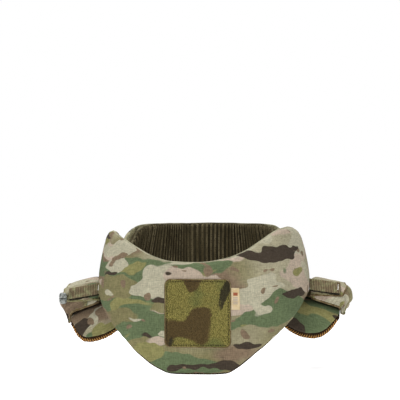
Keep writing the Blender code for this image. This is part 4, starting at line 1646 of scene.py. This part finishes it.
class AlongRow(NamedTuple):
    """A row of the sleeve's outline, from its front mouth to its back one; in millimetres."""

    crown_y: float
    crown_z: float
    fall: float  # of the crown, for each millimetre outwards
    hem_y: float
    reach: float  # how far out the sleeve goes, as a share
    rise: float  # its share of the crown's rise


SLEEVE_ACROSS = tuple(
    AcrossRow(*row)
    for row in (
        (117.0, 0.00, 0.0),
        (123.0, 0.09, 0.0),
        (128.5, 0.21, 0.0),
        (130.4, 0.46, 0.0),
        (131.6, 0.76, 0.0),
        (136.0, 0.96, 0.0),
        (145.0, 1.00, 0.0),
        (153.0, 1.00, 0.0),
        (161.0, 1.00, 0.0),
        (170.5, 0.975, 0.0),
        (176.5, 0.94, 0.0),
        (180.0, 0.82, 0.4),
        (180.8, 0.62, 1.4),
        (177.2, 0.42, 3.0),
        (174.0, 0.21, 6.0),
        (172.0, 0.00, 10.0),
    )
)
SLEEVE_ALONG = tuple(
    AlongRow(*row)
    for row in (
        (-38.5, -22.5, 0.34, -24.0, 0.66, 0.0),
        (-39.8, -14.5, 0.29, -22.5, 0.78, 0.0),
        (-38.6, -6.5, 0.23, -20.5, 0.88, 0.2),
        (-34.0, -2.2, 0.22, -18.0, 0.96, 0.4),
        (-27.0, -0.4, 0.22, -15.0, 1.00, 0.6),
        (-18.0, 0.4, 0.22, -11.0, 1.00, 0.8),
        (-7.0, 1.2, 0.22, -6.0, 1.00, 1.0),
        (5.0, 1.6, 0.22, 0.0, 1.00, 1.0),
        (18.0, 0.4, 0.22, 7.0, 1.00, 0.9),
        (27.0, -3.0, 0.22, 12.0, 0.99, 0.6),
        (33.0, -8.5, 0.22, 15.5, 0.97, 0.4),
        (36.5, -15.5, 0.24, 18.5, 0.94, 0.2),
        (38.0, -22.0, 0.26, 21.0, 0.90, 0.0),
    )
)


@dataclass(frozen=True)
class Drape:
    """How a side's sleeve sits: its crown's rise, folds, gathers and sag."""

    rise: float  # in millimetres
    folds: float  # depth of the folds at its front, in millimetres
    gathers: float  # and of the fine gathers there
    sag: float  # a share of the outline's sag


DRAPES = {Side.RIGHT: Drape(5.0, 2.2, 0.2, 1.0), Side.LEFT: Drape(-1.0, 1.1, 0.8, 0.65)}


@dataclass
class StrapSleeve:
    """A cloth tunnel over a pad, and the flap on it."""

    side: Side
    saddle: Saddle = Saddle()
    reference: float = 130.0  # distance in millimetres at which the crown's levels are given
    wall: float = 2.0 * MM
    flap_wall: float = 1.6 * MM
    flap_gap: float = 0.9 * MM
    pad_gap: float = 0.2 * MM
    flap_rows: tuple[float, float] = (4.0, 9.0)  # rows of the outline that the flap covers, across
    flap_spread: float = 1.0  # rows by which it is wider at its front edge
    flap_runs: tuple[float, float] = (0.45, 9.0)  # rows that it covers along
    flap_skew: float = 1.10  # rows by which its front edge draws back at its outer end
    finer: int = 8  # rows of the mesh for each row of the outline
    flat: tuple[float, float] = (0.118, 0.100)
    flap_flat: tuple[float, float] = (0.042, 0.080)
    hem_rise: float = 3.0  # of the hems over the saddle, in millimetres
    slow_lift: float = 1.1  # of the cloth's slow waves, in millimetres
    run_lift: float = 0.7  # and of its waves along the sleeve
    fold_count: float = 9.0
    fold_reach: float = 0.26  # from the front mouth, as a share of the sleeve
    gather_count: float = 22.0
    gather_reach: float = 0.10
    hem_share: float = 0.05  # of the sleeve, in which the rumples fade out
    deepest: float = 2.5 * MM  # points further inside the pad belong to its other side
    sleeve_binding: float = 1.5 * MM
    flap_binding: float = 1.3 * MM

    def face(self) -> np.ndarray:
        """The sleeve's outer face as a grid of points, in metres."""
        rows = []
        drape = DRAPES[self.side]
        for distance, share, sag in SLEEVE_ACROSS:
            row = []
            for along in SLEEVE_ALONG:
                drawn = max(share**0.4, 0.25) * (1.0 - along.reach)
                across = distance - drawn * (distance - self.reference)
                x = self.side.sign * across
                hem = self.saddle.level(x, along.hem_y) + self.hem_rise
                crown = along.crown_z - along.fall * (across - self.reference) + self.saddle.tilt * x
                crown += drape.rise * along.rise
                level = hem + share * (crown - hem) - sag * drape.sag
                row.append((x, along.hem_y + share * (along.crown_y - along.hem_y), level))
            rows.append(row)
        return np.array(rows) * MM

    def rumple(self, count: tuple[int, int]) -> np.ndarray:
        """How far the cloth's folds lift each point of the fine grid.

        Args:
            count: the grid's rows and columns.

        Returns:
            A height for each point.
        """
        drape = DRAPES[self.side]
        across, along = (np.linspace(0.0, 1.0, number) for number in count)
        lift = np.zeros(count)
        front, mouth = (bump(along, 0.0, reach) for reach in (self.fold_reach, self.gather_reach))
        for i, u in enumerate(across):
            for j, v in enumerate(along):
                slow = noise.noise(Vector((u * 3.0, v * 5.0, 4.0 + self.side.sign)))
                run = noise.noise(Vector((u * 2.2, v * 11.0, 9.0 - self.side.sign)))
                fold = math.sin(2 * math.pi * (v * self.fold_count + 0.5 * slow + u * 0.6))
                gather = math.sin(2 * math.pi * (u * self.gather_count + slow))
                lift[i, j] = self.slow_lift * slow + self.run_lift * run
                lift[i, j] += drape.folds * front[j] * fold + drape.gathers * mouth[j] * gather
        edge = np.minimum(np.minimum(across, 1 - across)[:, None], np.minimum(along, 1 - along)[None])
        return lift * MM * np.clip(edge / self.hem_share, 0.25, 1.0)

    def build(self) -> None:
        """Builds the sleeve and its flap with their bindings."""
        label = self.side.label
        grid = refine(refine(self.face(), self.finer).swapaxes(0, 1), self.finer).swapaxes(0, 1)
        out = grid_normals(grid) * self.side.sign
        across, along = grid.shape[:2]
        grid += out * self.rumple((across, along))[..., None]
        self.rest_on_pad(grid)
        u, v = np.meshgrid(np.linspace(0, 1, across), np.linspace(0, 1, along), indexing="ij")
        places = np.stack([u * self.flat[0] * self.side.sign, u * 0, v * self.flat[1]], axis=-1)
        lifted = grid + out * (self.flap_gap + self.flap_wall)
        flap_grid, flap_out, flap_places = self.flap_part(lifted, out, places)
        if self.side is Side.RIGHT:
            grid, places, out = grid[::-1], places[::-1], out[::-1]
        sleeve = lay_grid("sleeve_cloth_" + label, grid, places, self.wall)
        finish_piece(sleeve, "camo_cloth", SLEEVE_CLOTHS[self.side], replaces=["strap_sleeve_" + label])
        edge = self.rim(grid - out * self.wall / 2)
        binding = make_tube("sleeve_binding_" + label, edge, self.sleeve_binding, True)
        finish_piece(binding, "brown_mesh", BINDING)
        flap = lay_grid("flap_cloth_" + label, flap_grid, flap_places + (0.03, 0.0, 0.02), self.flap_wall)
        finish_piece(flap, "camo_cloth", SLEEVE_CLOTHS[self.side], replaces=["sleeve_flap_" + label])
        edge = self.rim(flap_grid - flap_out * self.flap_wall / 2)
        roll = make_tube("flap_binding_" + label, edge, self.flap_binding, True)
        finish_piece(roll, "camo_cloth", OLIVE_BINDING if self.side is Side.RIGHT else BINDING)

    def rest_on_pad(self, grid: np.ndarray) -> None:
        """Lifts the cloth's points that would be inside the pad or its mesh.

        Args:
            grid: the points of the sleeve's outer face, which are changed.
        """
        least = self.wall + self.pad_gap
        for name in ("pad_shell_", "pad_mesh_"):
            skin = Skin(bpy.data.objects[name + self.side.label])
            moves = np.zeros_like(grid)
            for place_in_grid in np.ndindex(grid.shape[:2]):
                point = Vector(grid[place_in_grid])
                place, out = skin.near(point)
                height = (point - place).dot(out)
                if -self.deepest < height < least:
                    moves[place_in_grid] = out * (least - height)
            for _ in range(3):
                wide = np.pad(moves, ((1, 1), (1, 1), (0, 0)), mode="edge")
                moves = (wide[:-2, 1:-1] + wide[2:, 1:-1] + wide[1:-1, :-2] + wide[1:-1, 2:] + 2 * moves) / 6
            grid += moves

    def flap_part(self, *grids: np.ndarray) -> list[np.ndarray]:
        """The flap's part of the sleeve's fine grids.

        Args:
            grids: the sleeve's grids.

        Returns:
            The same grids, read at the flap's own points.
        """
        (first, last), (start, stop) = self.flap_rows, self.flap_runs
        count = [round((high - low) * self.finer) + 1 for low, high in (self.flap_rows, self.flap_runs)]
        s, t = np.meshgrid(*(np.linspace(0, 1, number) for number in count), indexing="ij")
        rows = (first + (last - first) * s + self.flap_spread * s * (1 - t) ** 2) * self.finer
        runs = (start + (stop - start) * t + self.flap_skew * s * (1 - t)) * self.finer
        i, j = np.floor(rows).astype(int), np.floor(runs).astype(int)
        a, b = (rows - i)[..., None], (runs - j)[..., None]
        found = []
        for grid in grids:
            near = grid[i, j] * (1 - b) + grid[i, j + 1] * b
            part = near * (1 - a) + (grid[i + 1, j] * (1 - b) + grid[i + 1, j + 1] * b) * a
            found.append(part[::-1] if self.side is Side.RIGHT else part)
        return found

    @staticmethod
    def rim(grid: np.ndarray) -> list[Vector]:
        """The line round a grid's four edges."""
        loop = np.concatenate([grid[:-1, 0], grid[-1, :-1], grid[:0:-1, -1], grid[0, :0:-1]])
        return smooth_line([Vector(point) for point in loop], 2, closed=True)


@dataclass
class WebbingBand:
    """The ribbed webbing band across a sleeve's front, with its stitches and the dark tape under it, painted
    near black for the shadow below the band.
    """

    side: Side
    saddle: Saddle = Saddle()
    cell: float = 0.5 * MM
    rib_pitch: float = BAND_RIB
    rib_lean: float = 0.06
    rib_depth: float = 0.30 * MM
    start: float = 0.130  # distance from the wearer's middle at which its level is given
    drop: float = -12.3 * MM  # of its lower edge there
    fall: float = 0.16
    half: float = 6.75 * MM
    gap: float = 0.5 * MM  # kept between the band and the cloth behind it
    room: tuple[float, float] = (-1.2 * MM, 4.5 * MM)  # how far it may move to lie on the cloth
    reach: tuple[float, float] = (0.127, 0.169)  # from its inner to its outer end
    half_height: float = 8.0 * MM
    rows: tuple[float, float] = (0.1302, 0.1640)  # where its two rows of stitches are
    row_top: float = 4.6 * MM
    dark_stitch: Stitch = Stitch(1.9 * MM, 2.1 * MM, 0.7 * MM)
    light_stitch: Stitch = Stitch(1.9 * MM, 2.1 * MM, 1.2 * MM)
    shadow_backing: float = 1.25 * MM
    shadow_backing_reach: tuple[float, float] = (0.1295, 0.1655)

    def middle(self, across: float | np.ndarray) -> float | np.ndarray:
        """The level of the band's middle line at a distance from the wearer's middle."""
        crest = self.saddle.tilt * self.side.sign * across - self.fall * (across - self.start)
        return crest + self.drop + self.half

    def make_room(self, back: float) -> Callable[[np.ndarray], np.ndarray]:
        """Finds how far back the band can lie on the cloth behind it.

        Args:
            back: the Y of the straight band's back face.

        Returns:
            A function that gives the moves along Y of points on the band.
        """
        names = ("flap_cloth_", "flap_binding_", "sleeve_cloth_")
        covers = [Skin(bpy.data.objects[name + self.side.label]) for name in names]
        across = np.linspace(*self.reach, 15)
        heights = np.linspace(-self.half_height, self.half_height, 9)
        least, most = self.room
        room = np.full((len(across), len(heights)), most)
        for i, distance in enumerate(across):
            for j, height in enumerate(heights):
                level = self.middle(distance) + height
                start = Vector((self.side.sign * distance, back - 30 * MM, level))
                for cover in covers:
                    found = cover.hit(start, Vector((0.0, 1.0, 0.0)))
                    if found:
                        room[i, j] = min(room[i, j], found[0].y - back - self.gap)
        room = np.clip(room, least, most)
        wide = np.pad(room, 1, mode="edge")
        near = np.stack([wide[i : i + len(across), j : j + len(heights)] for i in range(3) for j in range(3)])
        room = 0.5 * near.min(axis=0) + 0.5 * room

        def move(points: np.ndarray) -> np.ndarray:
            """Reads the table between its places."""
            distance = np.abs(points[:, 0])
            height = points[:, 2] - self.middle(distance)
            cells = []
            for value, places in ((distance, across), (height, heights)):
                cell = np.interp(value, places, np.arange(len(places)))
                cells.append(np.clip(cell, 0, len(places) - 1.001))
            i, j = (cell.astype(int) for cell in cells)
            a, b = cells[0] - i, cells[1] - j
            low = room[i, j] * (1 - b) + room[i, j + 1] * b
            return low * (1 - a) + (room[i + 1, j] * (1 - b) + room[i + 1, j + 1] * b) * a

        return move

    def build(self) -> None:
        """Weaves the ribbed band, lays it on the cloth and sews its ends."""
        label = self.side.label
        band = copy_node("webbing_band_" + label, "band_ribs_" + label)
        remesh(band, self.cell, 2)
        low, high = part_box("webbing_band_" + label)
        move = self.make_room(high.y)

        def along(points: np.ndarray) -> np.ndarray:
            """The place along the band, whose ribs lean."""
            return np.abs(points[:, 0]) - points[:, 2] * self.rib_lean

        def rib(points: np.ndarray, normals: np.ndarray) -> np.ndarray:
            """Upright ribs close together."""
            wave = np.sin(2 * math.pi * along(points) / self.rib_pitch)
            return normals * (wave * self.rib_depth * np.abs(normals[:, 1]))[:, None]

        push_points(band, rib)
        points = get_points(band)
        write_cloth(band, np.c_[along(points), points[:, 1], points[:, 2]])
        points[:, 1] += move(points)
        set_points(band, points)
        finish_piece(band, "webbing", BAND_TAPE, replaces=["webbing_band_" + label])
        skin = Skin(band)

        def place(across: float, height: float, depth: float = 0.0) -> Vector:
            """A point on the band's front, or behind it by a depth."""
            point = np.array([[self.side.sign * across, low.y + depth, self.middle(across) + height]])
            point[:, 1] += move(point)
            return Vector(point[0])

        light_row = 0 if self.side is Side.RIGHT else 1
        for number, across in enumerate(self.rows):
            row_end, thread, stitch = -5.2 * MM, DARK_THREAD, self.dark_stitch
            if number == light_row:
                row_end, thread, stitch = -2.4 * MM, WHITE_THREAD, self.light_stitch
            line = [place(across, height) for height in np.linspace(self.row_top, row_end, 8)]
            finish_piece(sew(f"band_stitches_{label}_{number}", line, skin, stitch), "webbing", thread)
        # painted shadow: a near-black tape along the band's lower edge
        edge = []
        for across in np.linspace(*self.shadow_backing_reach, 40):
            point = place(across, -self.half - 0.7 * MM, 1.9 * MM)
            point.z += 0.5 * MM * noise.noise(Vector((across * 240.0, self.side.sign, 0.0)))
            edge.append(point)
        finish_piece(make_tube("band_backing_" + label, edge, self.shadow_backing), "webbing", SHADOW_TAPE)


@dataclass
class StrapSlider:
    """The small moulded slider at the end of the wearer's right band, and its webbing tongue."""

    round_off: float = 3.0 * MM
    slot_depth: float = 1.8 * MM
    slot_half: float = 0.8 * MM
    lip: float = 0.5 * MM
    lip_up: float = 2.2 * MM  # from the slot to the lip over it
    lip_half: float = 1.3 * MM
    tongue: tuple[float, float] = (1.1 * MM, 6.0 * MM)  # its thickness and width
    tongue_reach: float = 2.6 * MM  # how far it goes past the slider, to the band
    tongue_back: float = 0.9 * MM
    tongue_rise: float = 0.75 * MM

    def build(self) -> None:
        """Moulds the slider with its slot and lip, and leads webbing from the band to its back."""
        low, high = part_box("strap_slider")
        middle = (low + high) / 2
        body = make_block("slider_body", middle, high - low, 3, self.round_off)
        apply_modifier(body, "SUBSURF", levels=1, render_levels=1)

        def slot(points: np.ndarray, normals: np.ndarray) -> np.ndarray:
            """A slot across the middle for the strap, with a raised lip over it."""
            height = points[:, 2] - middle.z
            deep = self.lip * bump(height, self.lip_up, self.lip_half)
            deep -= self.slot_depth * bump(height, 0.0, self.slot_half)
            return normals * (deep * np.clip(-normals[:, 1] * 2.0, 0.0, 1.0))[:, None]

        push_points(body, slot)
        finish_piece(body, "grey_plastic", GREY_PLASTIC, replaces=["strap_slider"])
        end = high.x + self.tongue_reach
        place = Vector(((middle.x + end) / 2, high.y + self.tongue_back, middle.z + self.tongue_rise))
        tongue = make_block("slider_tongue", place, (end - middle.x, *self.tongue), 7)
        apply_modifier(tongue, "BEVEL", width=0.3 * MM, segments=2, limit_method="ANGLE")
        finish_piece(tongue, "webbing", DARK_BAND)


# ---------------------------------------------------------------------------- studio
class SoftLight(NamedTuple):
    """A soft square light."""

    name: str
    place: Triple
    target: Triple
    size: float
    power: float  # in watts


@dataclass
class Studio:
    """The pale floor, the soft lights and the camera."""

    azimuth: float = math.radians(5.1)
    distance: float = 2.0
    shift_right: float = -0.00825
    height: float = 0.100
    lens: float = 144.0
    sensor: float = 36.0
    floor_level: float = -0.1085
    floor_radius: float = 1.5
    floor_fade: tuple[float, float] = (1.45, 0.35)  # from where it is clear to where it is full
    floor_glow: float = 0.55
    ambient: float = 0.57
    lights: tuple[SoftLight, ...] = (
        SoftLight("over", (0.0, -0.15, 1.6), (0.0, 0.0, 0.0), 1.4, 39.5),
        SoftLight("front", (-0.5, -2.3, 1.0), (0.0, 0.0, -0.02), 1.2, 24.0),
    )

    def build(self) -> None:
        """Sets up the floor, world, lights and camera."""
        self.build_floor()
        self.build_world()
        for light in self.lights:
            self.build_light(light)
        right = Vector((math.cos(self.azimuth), math.sin(self.azimuth), 0.0))
        ahead = Vector((-math.sin(self.azimuth), math.cos(self.azimuth), 0.0))
        camera = bpy.data.cameras.new("camera")
        camera.lens = self.lens
        camera.sensor_width = self.sensor
        camera.clip_start, camera.clip_end = 0.05, 60.0
        holder = link_piece("camera", camera)
        holder.location = right * self.shift_right - ahead * self.distance + Vector((0, 0, self.height))
        holder.rotation_euler = (math.pi / 2, 0.0, self.azimuth)
        bpy.context.scene.camera = holder
        bpy.context.scene.view_settings.view_transform = "Standard"

    def build_floor(self) -> None:
        """Lays a round pale floor that fades out towards its rim."""
        floor = add_primitive(
            bpy.ops.mesh.primitive_circle_add,
            "floor",
            vertices=96,
            radius=self.floor_radius,
            fill_type="NGON",
            location=(0.0, 0.0, self.floor_level),
        )
        bpy.ops.object.transform_apply(location=True, rotation=True, scale=True)
        paper = bpy.data.materials.new("floor_paper")
        paper.use_nodes = True
        graph = Graph(paper.node_tree)
        shader = paper.node_tree.nodes["Principled BSDF"]
        shader.inputs["Base Color"].default_value = (0.95, 0.95, 0.95, 1.0)
        shader.inputs["Roughness"].default_value = 1.0
        shader.inputs["Specular IOR Level"].default_value = 0.0
        shader.inputs["Emission Color"].default_value = (1.0, 1.0, 1.0, 1.0)
        shader.inputs["Emission Strength"].default_value = self.floor_glow
        reach = graph.vector("LENGTH", Finish.object_place(graph)).node.outputs["Value"]
        graph.feed(shader.inputs["Alpha"], graph.band(reach, *self.floor_fade))
        floor.data.materials.append(paper)

    def build_world(self) -> None:
        """Fills the room with even light, behind which everything is white."""
        world = bpy.data.worlds.new("studio")
        world.use_nodes = True
        graph = Graph(world.node_tree)
        background = world.node_tree.nodes["Background"]
        background.inputs["Color"].default_value = (1.0, 1.0, 1.0, 1.0)
        seen = graph.add("LightPath").outputs["Is Camera Ray"]
        strength = graph.math("MULTIPLY_ADD", seen, 1.0 - self.ambient, self.ambient)
        graph.feed(background.inputs["Strength"], strength)
        bpy.context.scene.world = world

    def build_light(self, light: SoftLight) -> None:
        """Hangs a light."""
        lamp = bpy.data.lights.new(light.name, "AREA")
        lamp.size = light.size
        lamp.energy = light.power
        holder = link_piece(light.name, lamp)
        holder.location = light.place
        way = Vector(light.target) - Vector(light.place)
        holder.rotation_euler = way.to_track_quat("-Z", "Y").to_euler()


def main() -> None:
    """Builds every sub-assembly in order."""
    logging.basicConfig(level=logging.INFO, format="%(name)s %(message)s")
    Camouflage().make()
    Ripstop().make()
    make_mesh_knit()
    make_handling()
    Studio().build()
    ThroatBib().build()
    LoopPatch().build()
    SideLabel().build()
    RearCollar().build()
    build_closure_tabs()
    for side in Side:
        ShoulderPad(side).build()
        StrapSleeve(side).build()
        WebbingBand(side).build()
    StrapSlider().build()


if __name__ == "__main__":
    main()
